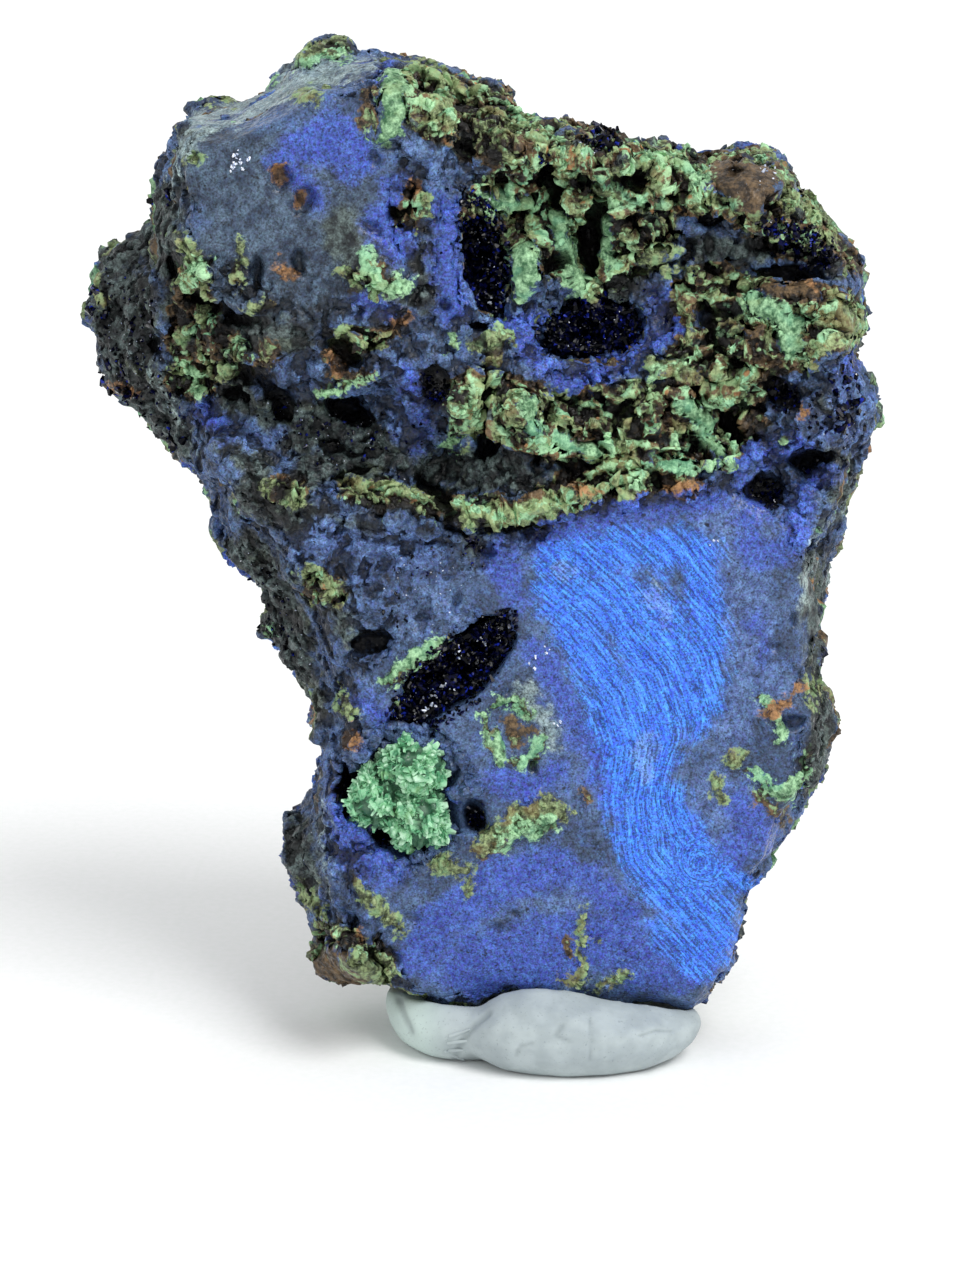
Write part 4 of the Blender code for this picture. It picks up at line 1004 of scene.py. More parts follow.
def paint(piece, front, ground=0.0, shade=0.0, level=None):
    """Store every cover on a piece, with how ground the skin is, its painted shade, and how high it lies.
    """
    places, _ = read_skin(piece)
    count = len(places)
    u, v = to_grid(places)
    u_edge = u + fractal_at(places, 1.1, 3, 3.1) * 9.0
    v_edge = v + fractal_at(places, 1.1, 3, 8.4) * 9.0
    level = np.full(count, 0.5) if level is None else level
    bare = smooth_step(-5.0, 3.0, inside_any(u_edge, v_edge, BARE))
    crusty = smooth_step(-12.0, 10.0, inside_any(u_edge, v_edge, CRUST_GROUND)) * front * (1.0 - bare)
    grey = np.clip(0.5 + inside_any(u_edge, v_edge, GREY_BLOCK) / COVER_SPAN, 0.0, 1.0) * front
    covers = {name: cover_of(name, places, u_edge, v_edge, front, TONES[name]) for name in TONES}
    breaks = smooth_step(0.02, 0.30, fractal_at(places, 0.75, 3, 77.0))
    for mineral in RAISE:
        cover = cover_of(mineral, places, u_edge, v_edge, front, mineral_trails(mineral))
        low, high, loss = LOW_SHARE[mineral]
        lost = loss * (0.3 + 0.7 * crusty) * (1.0 - smooth_step(low, high, level))
        if mineral == "mint":
            lost = lost + breaks * (0.06 + 0.14 * crusty)
        mixed = np.maximum(cover, mixed_crust(places, crusty, mineral))
        covers[mineral] = np.clip(mixed - lost * front * (1.0 - bare), 0.0, 1.0)
        covers["under"] = np.maximum(covers.get("under", 0.0), cover)
    covers["charcoal"] = np.maximum(covers["charcoal"], 0.85 * crusty)
    fringe = smooth_step(0.48, 0.60, covers["under"]) * front * (1.0 - bare)
    mottle = 0.50 + 0.50 * fractal_at(places, 0.7, 3, 62.0) - 0.4 * (1.0 - smooth_step(0.12, 0.34, level))
    mottle -= 0.16 * smooth_step(0.48, 0.60, covers["mint"]) * (1.0 - crusty)
    covers["olive"] = np.maximum(covers["olive"], np.clip(mottle, 0.0, 1.0) * fringe)
    covers["brown"] = np.maximum(covers["brown"], 0.64 * fringe)
    across, along = along_line(u, v, BAND_LINE)
    full = np.ones(count)
    # tones a holds bright, royal, violet and the light tone with its sheen; tones b holds charcoal, black,
    # the painted shade and how ground the skin is.
    store(piece, "tones a", [covers[name] for name in ("bright", "royal", "violet", "pale_and_sheen")])
    store(piece, "tones b", [covers["charcoal"], covers["black"], full * shade, full * ground])
    store(piece, "minerals", [covers[name] for name in ("mint", "olive", "brown", "rust")])
    store(piece, "band", [across, along, grey], "FLOAT_VECTOR")
    store(piece, "level", [level, full * 0.0, full * 0.0], "FLOAT_VECTOR")


# Painted shade: the floors of pits, the grooves between lumps and the ground under the crusts are darkened.
body_shade = 0.75 * body_skin["floor"] + 0.45 * body_skin["groove"] + 0.7 * body_skin["crust"]
body_shade = np.clip(body_shade, 0.0, 1.0)
paint(body, body_skin["facing"], body_skin["ground"], body_shade)
# Painted shade in the open cells of the fine net, the more the stronger the relief.
low = 1.0 - smooth_step(0.06, 0.46, net_skin["level"])
low *= np.clip(net_skin["relief"] / 1.05, 0.0, 1.0)
net_shade = np.clip(0.95 * net_skin["floor"] + 0.90 * low, 0.0, 1.0)
paint(fine_net, 1.0, shade=net_shade, level=net_skin["level"])
print("painted", len(body.data.vertices), "vertices of the body and the fine net")

# %% [markdown]
# ## Crumbs of the crusts
# On the fine net sit crumbs: small angular lumps of malachite and limonite.  Each patch gets a few
# dozen, set where a line of sight meets the stone.  They stay sharp and only run into each other.  A
# fixed seed gives the same crust each run.

# %% Lumps
SEED = 7
HEAP_SIZE = 40


def joined_tree(pieces):
    """A search tree over the faces of several pieces, with each face's first corner."""
    corners = []
    faces = []
    for piece in pieces:
        start = len(corners)
        corners += [vert.co.copy() for vert in piece.data.vertices]
        faces += [[start + row for row in face.vertices] for face in piece.data.polygons]
    return BVHTree.FromPolygons(corners, faces), [face[0] for face in faces]


def sight_hit(tree, u, v):
    """Where a line of sight through a grid point meets the skin, in metres."""
    return tree.ray_cast(EYE * MM, grid_ray(u, v))


def turned_to(normal, chance, lean):
    """A frame whose Z leans a little from a normal, spun at random."""
    tilt = Vector((chance.gauss(0, lean), chance.gauss(0, lean), chance.gauss(0, lean)))
    axis = (normal + tilt).normalized()
    spin = Matrix.Rotation(chance.uniform(0, 6.28), 4, "Z")
    return axis.to_track_quat("Z", "Y").to_matrix().to_4x4() @ spin


def chip(verts, reach, chance):
    """Move each corner a little, so no two lumps are alike."""
    for vert in verts:
        vert.co += Vector((chance.gauss(0, 1), chance.gauss(0, 1), chance.gauss(0, 1))) * reach * 0.6 * MM


def add_lump(shell, place, normal, radius, chance, sunk=0.1):
    """A small angular lump, partly sunk in the skin."""
    stretch = [radius * MM * chance.uniform(0.6, 1.3) for _ in range(3)]
    place = place + normal * radius * MM * chance.uniform(-sunk - 0.2, 0.35 - sunk)
    matrix = Matrix.Translation(place) @ turned_to(normal, chance, 0.6) @ Matrix.Diagonal(stretch + [1.0])
    lump = bmesh.ops.create_icosphere(shell, subdivisions=1, radius=1.0, matrix=matrix)
    chip(lump["verts"], radius * 0.28, chance)


def pour(whole, heap):
    """Move a small heap of lumps into the whole and start a new heap, which keeps each step quick."""
    mesh = bpy.data.meshes.new("heap")
    heap.to_mesh(mesh)
    heap.free()
    whole.from_mesh(mesh, face_normals=False, vertex_normals=False)
    bpy.data.meshes.remove(mesh)
    return bmesh.new()


def finish_heap(whole, heap, name):
    """Pour the last heap and make the whole a piece."""
    pour(whole, heap).free()
    return new_piece(whole, name)


def trail_points(trail, spacing, chance):
    """Random grid points over a stroke, about one per square of the spacing in millimetres."""
    stops = list(trail) if len(trail) > 1 else list(trail) * 2
    step = spacing * GRID_PER_MM
    points = []
    for (u0, v0, r0), (u1, v1, r1) in zip(stops, stops[1:]):
        mean = (r0 + r1) / 2
        area = math.hypot(u1 - u0, v1 - v0) * 2 * mean + math.pi * mean * mean
        for _ in range(max(3, int(area / (step * step)))):
            part = chance.random()
            reach = (math.sqrt(chance.random()) + abs(chance.gauss(0, 0.22))) * (r0 + (r1 - r0) * part)
            angle = chance.uniform(0, 2 * math.pi)
            points.append((u0 + (u1 - u0) * part + reach * math.cos(angle),
                           v0 + (v1 - v0) * part + reach * math.sin(angle)))
    return points


def shade_near(piece):
    """Painted shade of a grown piece: that of the skin below it, a little less at its tips."""
    shade = np.empty(len(piece.data.vertices))
    for row, vert in enumerate(piece.data.vertices):
        _, _, index, away = top_tree.find_nearest(vert.co)
        shade[row] = top_shade[top_corners[index]] * max(0.35, 1.0 - 0.5 * away / (0.25 * MM))
    return shade


top_tree, top_corners = joined_tree((fine_net, body))
top_shade = np.concatenate((net_shade, body_shade))
top_floor = np.concatenate((net_skin["floor"], body_skin["floor"]))
print("line of sight through the middle meets the stone at",
      [round(part / MM, 1) for part in sight_hit(top_tree, 480, 600)[0]], "mm")

# %% Grow the crumbs of each patch
LUMP_SPACING = 0.80
DEEP_FLOOR = 0.45
# Crumbs count as high ground: they take the minerals of the tips, and the finish paints them lighter.
CRUST_TIP = 0.68
LUMP_SIZE = {"mint": (0.08, 0.24), "olive": (0.08, 0.28), "brown": (0.10, 0.26), "rust": (0.08, 0.16)}


def is_deep(index):
    """Whether a face lies in a pit, where nothing has grown."""
    return top_floor[top_corners[index]] > DEEP_FLOOR


def is_bare(u, v):
    """Whether a grid point lies on a plain facet."""
    return inside_any(np.array([u]), np.array([v]), BARE)[0] > 0.0


def grow_crust(name, seed):
    """Fill the patches with small lumps."""
    chance = random.Random(seed)
    whole = bmesh.new()
    shell = bmesh.new()
    for mineral, trail in PATCHES.values():
        shell = pour(whole, shell)
        low, high = LUMP_SIZE[mineral]
        for u, v in trail_points(trail, LUMP_SPACING, chance):
            place, normal, index, _ = sight_hit(top_tree, u, v)
            if place is None or is_deep(index) or is_bare(u, v):
                continue
            add_lump(shell, place, normal, chance.uniform(low, high), chance, 0.25)
    piece = finish_heap(whole, shell, name)
    paint(piece, 1.0, shade=shade_near(piece), level=np.full(len(piece.data.vertices), CRUST_TIP))
    print(name, triangles(piece), "triangles")
    return piece


crust_crumbs = grow_crust("crust_crumbs", SEED)

# %% [markdown]
# Loose-looking crumbs cover all broken ground too, on the front, the sides and the back.  These are
# scattered over the faces of the stone by area, so nothing floats.

# %% Scatter crumbs over broken ground
FRONT_CRUMBS = 3000
BACK_CRUMBS = 5200
FRONT_SIZES = (0.07, 0.10, 0.14, 0.18, 0.24, 0.30)
BACK_SIZES = (0.12, 0.16, 0.20, 0.26, 0.32, 0.40)
# The tips set how high the crumbs count, and the finish paints them lighter the higher that is.
FRONT_TIP = 0.62
BACK_TIP = 0.5


def scatter_crumbs(name, seed, host, weights, count, sizes, front, tip):
    """Small lumps over a host's faces, more where the weights are high."""
    chance = random.Random(seed)
    faces = host.data.polygons
    whole = bmesh.new()
    shell = bmesh.new()
    for step, index in enumerate(chance.choices(range(len(faces)), weights=list(weights), k=count)):
        if step % HEAP_SIZE == 0:
            shell = pour(whole, shell)
        face = faces[index]
        add_lump(shell, face.center.copy(), face.normal.copy(), chance.choice(sizes), chance, 0.4)
    piece = finish_heap(whole, shell, name)
    paint(piece, front, shade=shade_near(piece), level=np.full(len(piece.data.vertices), tip))
    print(name, triangles(piece), "triangles")
    return piece


def areas_of(piece):
    """The area of each face and its first corner."""
    areas = np.array([face.area for face in piece.data.polygons])
    return areas, np.array([face.vertices[0] for face in piece.data.polygons])


net_areas, net_first = areas_of(fine_net)
net_weights = net_areas * net_skin["relief"][net_first] * (net_skin["floor"][net_first] < 0.4)
front_crumbs = scatter_crumbs("crumbs_front", SEED + 3, fine_net, net_weights, FRONT_CRUMBS,
                              FRONT_SIZES, 1.0, FRONT_TIP)
back_areas, back_first = areas_of(body)
back_weights = back_areas * (1.0 - body_skin["facing"][back_first]) ** 2
back_crumbs = scatter_crumbs("crumbs_back", SEED + 5, body, back_weights, BACK_CRUMBS, BACK_SIZES, 0.0,
                             BACK_TIP)

# %% [markdown]
# ## Crystals in the hollows
# The hollows are lined with small dark azurite crystals.  Each is a stubby prism with four to six
# sides that narrows to its tip, and flat faces that catch the light one by one.  A cone with a cut
# tip is enough for each, because there are hundreds.

# %% Crystal and blade
CRYSTAL_SIDES = (4, 5, 6)
DRUSE_VOXEL = 0.16


def add_crystal(shell, place, normal, radius, length, chance, lean=0.55, flat=1.0):
    """A prism that narrows to a cut tip, standing on the skin."""
    frame_up = turned_to(normal, chance, lean)
    middle = place + frame_up.to_3x3().col[2] * length * 0.28 * MM
    matrix = Matrix.Translation(middle) @ frame_up @ Matrix.Diagonal((1.0, flat, 1.0, 1.0))
    sides = chance.choice(CRYSTAL_SIDES)
    bmesh.ops.create_cone(shell, cap_ends=True, cap_tris=False, segments=sides, radius1=radius * MM,
                          radius2=radius * 0.42 * MM, depth=length * MM, matrix=matrix)


def crystals_on_node(node, name, count, seed, low, high):
    """Crystals over a CAD crust, on the faces that look out of the hollow."""
    chance = random.Random(seed)
    piece = merged_copy(node, name)
    remesh(piece, DRUSE_VOXEL, 1)
    places, normals = read_skin(piece)
    write_skin(piece, places + normals * (0.14 * fractal_at(places, 0.7, 3, 2.0) - 0.04)[:, None])
    faces = piece.data.polygons
    weights = [face.area * max(0.05, -face.normal.y) for face in faces]
    whole = bmesh.new()
    whole.from_mesh(piece.data)
    shell = bmesh.new()
    for step, index in enumerate(chance.choices(range(len(faces)), weights=weights, k=count)):
        if step % HEAP_SIZE == 0:
            shell = pour(whole, shell)
        corners = [piece.data.vertices[row].co for row in faces[index].vertices]
        shares = [chance.random() + 0.05 for _ in corners]
        place = sum((co * share for co, share in zip(corners, shares)), Vector()) / sum(shares)
        radius = chance.uniform(low, high)
        add_crystal(shell, place, faces[index].normal, radius, radius * chance.uniform(1.6, 3.2), chance)
    pour(whole, shell).free()
    whole.to_mesh(piece.data)
    whole.free()
    print(name, triangles(piece), "triangles")
    return piece


slit_crystals = crystals_on_node("slit_druse", "slit_crystals", 620, SEED + 6, 0.09, 0.24)
slot_crystals = crystals_on_node("slot_druse", "slot_crystals", 360, SEED + 7, 0.09, 0.24)
pocket_crystals = crystals_on_node("pocket_druse", "pocket_crystals", 360, SEED + 8, 0.09, 0.24)

# %% Crystals along the open hollows
HOLLOW_RIMS = [
    [(394, 726, 7), (398, 700, 7), (424, 662, 7), (462, 634, 6), (496, 616, 5), (514, 612, 4)],
    [(514, 614, 4), (510, 640, 6), (492, 668, 7), (464, 704, 7), (428, 728, 7), (396, 728, 6)],
    [(470, 196, 6), (462, 222, 7), (466, 256, 7), (480, 296, 7)],
    [(474, 198, 5), (492, 214, 7), (504, 250, 7), (504, 286, 7), (494, 312, 7)],
    [(540, 330, 7), (552, 314, 7), (588, 302, 7), (622, 306, 7), (638, 320, 6)],
    [(540, 336, 7), (566, 350, 7), (604, 352, 7), (632, 340, 7), (640, 326, 6)],
]
BIG_CRYSTALS = [[(766, 222, 8), (806, 246, 14), (824, 260, 12)], [(590, 134, 12), (614, 142, 12)],
                [(160, 200, 10)], [(96, 300, 14)], [(140, 326, 12)], [(120, 380, 14)], [(170, 440, 11)],
                [(844, 372, 12), (850, 430, 12)], [(344, 790, 10)], [(808, 462, 10)]]
OPEN_DRUSES = TONES["black"][3:] + HOLLOW_RIMS
SCATTERED = [[(120, 300, 34), (130, 372, 28), (172, 440, 20)], [(270, 420, 26), (392, 452, 22)],
             [(262, 560, 20), (282, 640, 18)], [(840, 400, 24), (812, 440, 18)], [(420, 560, 16)],
             [(470, 552, 20)], [(400, 610, 14)], [(432, 428, 16)], [(640, 300, 14)], [(662, 330, 12)],
             [(840, 250, 14)], [(448, 250, 10)], [(690, 262, 14)]]


def crystals_on_trails(name, trails, spacing, seed, low, high, tree):
    """Crystals where lines of sight through the trails meet the stone."""
    chance = random.Random(seed)
    whole = bmesh.new()
    shell = bmesh.new()
    for trail in trails:
        shell = pour(whole, shell)
        for u, v in trail_points(trail, spacing, chance):
            place, normal, _, _ = sight_hit(tree, u, v)
            if place is None:
                continue
            radius = chance.uniform(low, high)
            add_crystal(shell, place, normal, radius, radius * chance.uniform(1.4, 2.8), chance)
    piece = finish_heap(whole, shell, name)
    print(name, triangles(piece), "triangles")
    return piece


open_crystals = crystals_on_trails("open_crystals", OPEN_DRUSES, 0.26, SEED + 9, 0.08, 0.19, top_tree)
big_crystals = crystals_on_trails("big_crystals", BIG_CRYSTALS, 0.55, SEED + 15, 0.16, 0.38, top_tree)
strewn_crystals = crystals_on_trails("strewn_crystals", SCATTERED, 0.62, SEED + 10, 0.06, 0.15, top_tree)

# %% [markdown]
# Tiny near-white crystals are set where white flashes show: mostly painted glints, and at the upper left
# some small white crystals too.  Still smaller painted glints lie strewn over the dark ground.

# %% White flecks and painted glints
FLECKS = [[(240, 150, 6), (236, 178, 6)], [(250, 160, 4)], [(532, 662, 6)], [(548, 650, 5)],
          [(428, 700, 9)], [(448, 688, 6)], [(456, 655, 6)], [(480, 640, 5)], [(424, 716, 7)],
          [(558, 726, 5)], [(712, 541, 5)], [(770, 170, 8)], [(472, 812, 6)], [(396, 765, 8)],
          [(500, 300, 8)], [(480, 236, 6)], [(490, 204, 6)]]
GLINTS = [[(120, 300, 34), (135, 372, 28), (176, 440, 20)], [(262, 420, 26), (392, 452, 26)],
          [(404, 720, 16), (450, 664, 24), (500, 626, 12)], [(480, 210, 16), (488, 290, 18)],
          [(556, 330, 18), (622, 326, 20)], [(775, 226, 12), (822, 252, 14)],
          [(262, 560, 22), (300, 690, 16)],
          [(740, 180, 26)], [(850, 380, 14), (838, 440, 18)], [(600, 140, 24)], [(340, 790, 16)],
          [(392, 760, 22), (430, 830, 22)], [(300, 840, 16)], [(380, 560, 30), (450, 590, 30)]]
hollow_tree = joined_tree((fine_net, body, slit_crystals, slot_crystals, pocket_crystals))[0]
flecks = crystals_on_trails("white_flecks_and_painted_glints", FLECKS, 0.34, SEED + 11, 0.05, 0.14, hollow_tree)
glints = crystals_on_trails("painted_small_glints", GLINTS, 0.95, SEED + 14, 0.022, 0.050, hollow_tree)

# %% [markdown]
# ## The malachite rosette
# Beside the slit sits a tuft of malachite, three lobes of thin blades that all point outwards.  The
# blades are the same cut cones, flattened, and each leans away from the middle of the tuft.

# %% Blades of the rosette
ROSETTE_VOXEL = 0.15


def grow_rosette(name, count, seed):
    """Blades over the rosette's solid."""
    chance = random.Random(seed)
    piece = merged_copy("malachite_rosette", name)
    remesh(piece, ROSETTE_VOXEL, 1)
    places, normals = read_skin(piece)
    write_skin(piece, places + normals * (0.10 * fractal_at(places, 0.6, 3, 2.0))[:, None])
    faces = piece.data.polygons
    core = joined_tree((piece,))[0]
    lush = fractal_at(np.array([face.center for face in faces]) / MM, 1.5, 2, 31.0)
    lush = smooth_step(-0.26, 0.20, lush)
    weights = [face.area * (1.0 if face.normal.y < 0.2 else 0.15) * (0.05 + share)
               for face, share in zip(faces, lush)]
    whole = bmesh.new()
    whole.from_mesh(piece.data)
    shell = bmesh.new()
    for step, index in enumerate(chance.choices(range(len(faces)), weights=weights, k=count)):
        if step % HEAP_SIZE == 0:
            shell = pour(whole, shell)
        face = faces[index]
        width = chance.choice((0.16, 0.20, 0.26, 0.34, 0.50))
        length = chance.uniform(0.3, 0.8) * (0.4 + 0.8 * lush[index])
        add_crystal(shell, face.center.copy(), face.normal.copy(), width, length, chance, 0.8,
                    chance.uniform(0.25, 0.7))
    pour(whole, shell).free()
    whole.to_mesh(piece.data)
    whole.free()
    reach = np.array([core.find_nearest(vert.co)[3] / MM for vert in piece.data.vertices])
    # The reach from the core is kept so that the finish paints shade at the feet of the blades and light at
    # their tips.
    store(piece, "level", [reach / 0.38, reach * 0.0, reach * 0.0], "FLOAT_VECTOR")
    print(name, triangles(piece), "triangles")
    return piece


rosette = grow_rosette("rosette_blades", 1500, SEED + 12)

# %% Azurite that closes round the rosette
COLLAR_LEVEL = -7.75
COLLAR_SPACING = 0.34
LAYER_DEPTH = 0.6
RIM_SPACING = 0.42
COLLAR = [[(352, 762, 5), (364, 742, 7), (392, 732, 8), (424, 738, 8), (448, 752, 8), (462, 766, 7)],
          [(470, 774, 7), (472, 796, 6)], [(456, 836, 7), (440, 856, 8), (412, 866, 8), (404, 868, 6)],
          [(366, 826, 6), (356, 838, 6)]]
RIM_LUMPS = [[(560, 300, 9), (546, 318, 9), (552, 348, 10)], [(584, 296, 8), (600, 302, 6)],
             [(626, 300, 10), (644, 322, 9)], [(636, 350, 10), (612, 358, 9), (590, 354, 6)],
             [(466, 210, 4), (462, 262, 4)], [(504, 208, 6), (512, 262, 6)],
             [(400, 728, 5), (432, 730, 5)], [(440, 640, 5), (478, 618, 5)]]


def grow_collar(name, trails, seed):
    """Lumps that fill the gap beside the rosette up to the ground face."""
    chance = random.Random(seed)
    whole = bmesh.new()
    shell = bmesh.new()
    for trail in trails:
        shell = pour(whole, shell)
        for u, v in trail_points(trail, COLLAR_SPACING, chance):
            place = sight_hit(top_tree, u, v)[0]
            level = EYE + grid_ray(u, v) * ((COLLAR_LEVEL - EYE.y) / grid_ray(u, v).y)
            depth = (place - level * MM).length / MM if place.y > level.y * MM else 0.0
            for layer in range(1 + int(depth / LAYER_DEPTH)):
                share = min(1.0, layer * LAYER_DEPTH / max(depth, LAYER_DEPTH))
                spot = place + (level * MM - place) * share
                add_lump(shell, spot, -FORWARD, chance.uniform(0.3, 0.5), chance)
    for trail in RIM_LUMPS:
        shell = pour(whole, shell)
        for u, v in trail_points(trail, RIM_SPACING, chance):
            place, normal, _, _ = sight_hit(top_tree, u, v)
            add_lump(shell, place, normal, chance.uniform(0.14, 0.34), chance)
    piece = finish_heap(whole, shell, name)
    # The collar gets a little painted shade.
    paint(piece, 1.0, ground=0.3, shade=0.12)
    print(name, triangles(piece), "triangles")
    return piece


collar = grow_collar("rosette_collar", COLLAR, SEED + 13)

# %% [markdown]
# ## The putty
# Two lumps of grey putty were rolled and pressed together under the stone.  The skin is smooth and
# dull, with a crease where the lumps meet, a few strings pulled out as they were parted, and faint
# lines from a fingertip.

# %% Press the putty
PUTTY_VOXEL = 0.20
SHOULDER_DROP = 1.0
PUTTY_CREASES = [
    [(452, 1068, 3), (458, 1050, 3), (466, 1034, 3), (476, 1020, 3), (488, 1010, 3)],
    [(400, 996, 3), (404, 1014, 3), (412, 1032, 2)],
    [(562, 1022, 2), (556, 1034, 2), (570, 1040, 1)],
    [(590, 1010, 1), (592, 1038, 1), (590, 1060, 1)],
    [(640, 1030, 1), (656, 1024, 1), (672, 1026, 1)],
    [(516, 1056, 1), (520, 1046, 1), (532, 1044, 1)],
]

putty = merged_copy("putty", "putty_lumps")
remesh(putty, PUTTY_VOXEL, 16)
putty_places, putty_normals = read_skin(putty)
putty_u, putty_v = to_grid(putty_places)
putty_facing = smooth_step(0.0, 0.2, facing_eye(putty_places, putty_normals))
crease = smooth_step(-2.5, 2.0, inside_any(putty_u, putty_v, PUTTY_CREASES)) * putty_facing
soft = 0.07 * fractal_at(putty_places, 3.0, 3, 6.0) + 0.012 * fractal_at(putty_places, 0.6, 2, 1.0)
resting = smooth_step(0.15, 0.9, putty_places[:, 2])
putty_moved = putty_places + putty_normals * ((soft - 0.11 * crease) * resting)[:, None]
putty_x = putty_places[:, 0]
shoulder = smooth_step(-2.0, 5.5, putty_x) * (1.0 - smooth_step(9.0, 13.0, putty_x))
shoulder += 0.55 * smooth_step(-11.0, -9.5, putty_x) * (1.0 - smooth_step(-4.5, -2.5, putty_x))
putty_moved[:, 2] -= SHOULDER_DROP * shoulder * smooth_step(2.0, 5.5, putty_places[:, 2])
write_skin(putty, putty_moved)
store(putty, "crease", [crease, resting, crease * 0.0], "FLOAT_VECTOR")
print("putty", triangles(putty), "triangles")

# %% Strings of putty
STRING_VOXEL = 0.06
STRINGS = [((451, 1036), (468, 1030)), ((449, 1043), (466, 1041)), ((450, 1050), (463, 1050)),
           ((446, 1052), (462, 1059)), ((440, 1058), (458, 1067))]


def pull_strings(name, ends):
    """Thin strings that run from one lump to the other."""
    tree = joined_tree((putty,))[0]
    shell = bmesh.new()
    for start, stop in ends:
        first = sight_hit(tree, *start)[0]
        last = sight_hit(tree, *stop)[0]
        if first is None or last is None:
            continue
        run = last - first
        matrix = Matrix.Translation((first + last) / 2) @ run.to_track_quat("Z", "Y").to_matrix().to_4x4()
        bmesh.ops.create_cone(shell, cap_ends=True, segments=8, radius1=0.16 * MM, radius2=0.11 * MM,
                              depth=run.length * 1.25, matrix=matrix)
    piece = new_piece(shell, name)
    remesh(piece, STRING_VOXEL, 4)
    return piece


putty_strings = pull_strings("putty_strings", STRINGS)
print("strings", triangles(putty_strings), "triangles")

# %% [markdown]
# ## Finishes
# All finishes are built from nodes.  Short helpers keep them readable: one adds a node and fills its
# sockets, one lays a colour over another through a mask, and one turns a cover into a broken edge.
# They all work on tree, the node tree of the finish that is being built.

# %% Node helpers


def tint(code):
    """A linear colour from a six-digit hex code."""
    parts = [int(code[start:start + 2], 16) / 255 for start in (0, 2, 4)]
    linear = [part / 12.92 if part <= 0.04045 else ((part + 0.055) / 1.055) ** 2.4 for part in parts]
    return (*linear, 1.0)


def add_node(kind, sockets, **settings):
    """Add a node to the finish being built, and fill its sockets with values or links."""
    made = tree.nodes.new(kind)
    for name, value in settings.items():
        setattr(made, name, value)
    for socket, value in sockets.items():
        if isinstance(value, bpy.types.NodeSocket):
            tree.links.new(value, made.inputs[socket])
        else:
            made.inputs[socket].default_value = value
    return made


def spot_of():
    """Where on the piece a point lies."""
    return add_node("ShaderNodeTexCoord", {}).outputs["Object"]


def kept(name):
    """An attribute that is stored on the piece."""
    return add_node("ShaderNodeAttribute", {}, attribute_name=name)


def channels(colour):
    """The three channels of a colour."""
    return add_node("ShaderNodeSeparateColor", {0: colour}).outputs


def axes(vector):
    """The three parts of a vector."""
    return add_node("ShaderNodeSeparateXYZ", {0: vector}).outputs


def bumps(height, strength, reach):
    """Relief too fine for the mesh, with its reach in millimetres."""
    sockets = {"Strength": strength, "Distance": reach * MM, "Height": height}
    return add_node("ShaderNodeBump", sockets).outputs[0]


def sum_of(first, second, way="ADD", limit=False):
    """One sum of two numbers."""
    sockets = {0: first, 1: second}
    return add_node("ShaderNodeMath", sockets, operation=way, use_clamp=limit).outputs[0]


def between(value, low, high, to_low=0.0, to_high=1.0, smooth=True):
    """Spread a number's range over another, with soft ends."""
    kind = "SMOOTHSTEP" if smooth else "LINEAR"
    sockets = {"Value": value, "From Min": low, "From Max": high, "To Min": to_low, "To Max": to_high}
    return add_node("ShaderNodeMapRange", sockets, interpolation_type=kind).outputs[0]


def over(mask, below, above, way="MIX"):
    """Lay one colour over another through a mask."""
    sockets = {0: mask, 6: below, 7: above}
    return add_node("ShaderNodeMix", sockets, data_type="RGBA", blend_type=way).outputs[2]


def grains(place, size, detail=3.0, rough=0.6, warp=0.0):
    """Noise whose swells are about the given size in millimetres."""
    sockets = {"Vector": place, "Scale": 1.0 / (size * MM), "Detail": detail, "Roughness": rough,
               "Distortion": warp}
    return add_node("ShaderNodeTexNoise", sockets)


def cells(place, size, feature="F1"):
    """Small cells of about the given size in millimetres."""
    sockets = {"Vector": place, "Scale": 1.0 / (size * MM)}
    return add_node("ShaderNodeTexVoronoi", sockets, feature=feature)


def broken_edge(cover, wobble, soft=0.035):
    """A mask from a cover, its edge broken up by a noise."""
    return between(sum_of(cover, wobble), 0.5 - soft, 0.5 + soft)


def new_finish(name):
    """An empty material with its output."""
    finish = bpy.data.materials.new(name)
    finish.use_nodes = True
    finish.node_tree.nodes.clear()
    return finish, finish.node_tree


def close_finish(sockets):
    """The surface shader and the output."""
    shader = add_node("ShaderNodeBsdfPrincipled", sockets)
    output = tree.nodes.new("ShaderNodeOutputMaterial")
    tree.links.new(shader.outputs[0], output.inputs[0])
    print("a finish of", len(tree.nodes), "nodes")


# %% [markdown]
# ### The mineral skin
# One finish serves the body and every crust, because the real minerals run through both.  The azurite
# tones come first, then the crusts over them, then the painted shade that darkens the recesses.  Fine
# grain shifts each colour a little, as tiny crystals do when they face different ways, and the finish
# paints high ground lighter and low ground darker, as painted light and shade.

# %% Mineral skin: covers and noises
skin, tree = new_finish("mineral_skin")
place = spot_of()
tones_with_sheen = kept("tones a")
tones_with_painted_shade = kept("tones b")
crusts = kept("minerals")
band = kept("band")
height_for_painted_light = axes(kept("level").outputs["Vector"])[0]
bright_c, royal_c, violet_c = channels(tones_with_sheen.outputs["Color"])
charcoal_c, black_and_hole_shade_c, recess = channels(tones_with_painted_shade.outputs["Color"])
mint_c, olive_c, brown_c = channels(crusts.outputs["Color"])
ground_c = tones_with_painted_shade.outputs["Alpha"]

blotch = grains(place, 3.2, 4.0, 0.6).outputs["Fac"]
patchy = grains(place, 1.0, 4.0, 0.65).outputs["Fac"]
fine = grains(place, 0.30, 3.0, 0.7).outputs["Fac"]
speck = grains(place, 0.13, 2.0, 0.6).outputs["Fac"]
hue_place = grains(place, 2.1, 2.0, 0.5).outputs["Fac"]
hue_speck = grains(place, 0.22, 1.0, 0.5).outputs["Color"]
fray = between(patchy, 0.2, 0.8, -0.11, 0.11, False)
fray_fine = between(fine, 0.2, 0.8, -0.10, 0.10, False)
wide_fray = sum_of(between(blotch, 0.2, 0.8, -0.16, 0.16, False), fray)
edge = sum_of(fray, fray_fine)

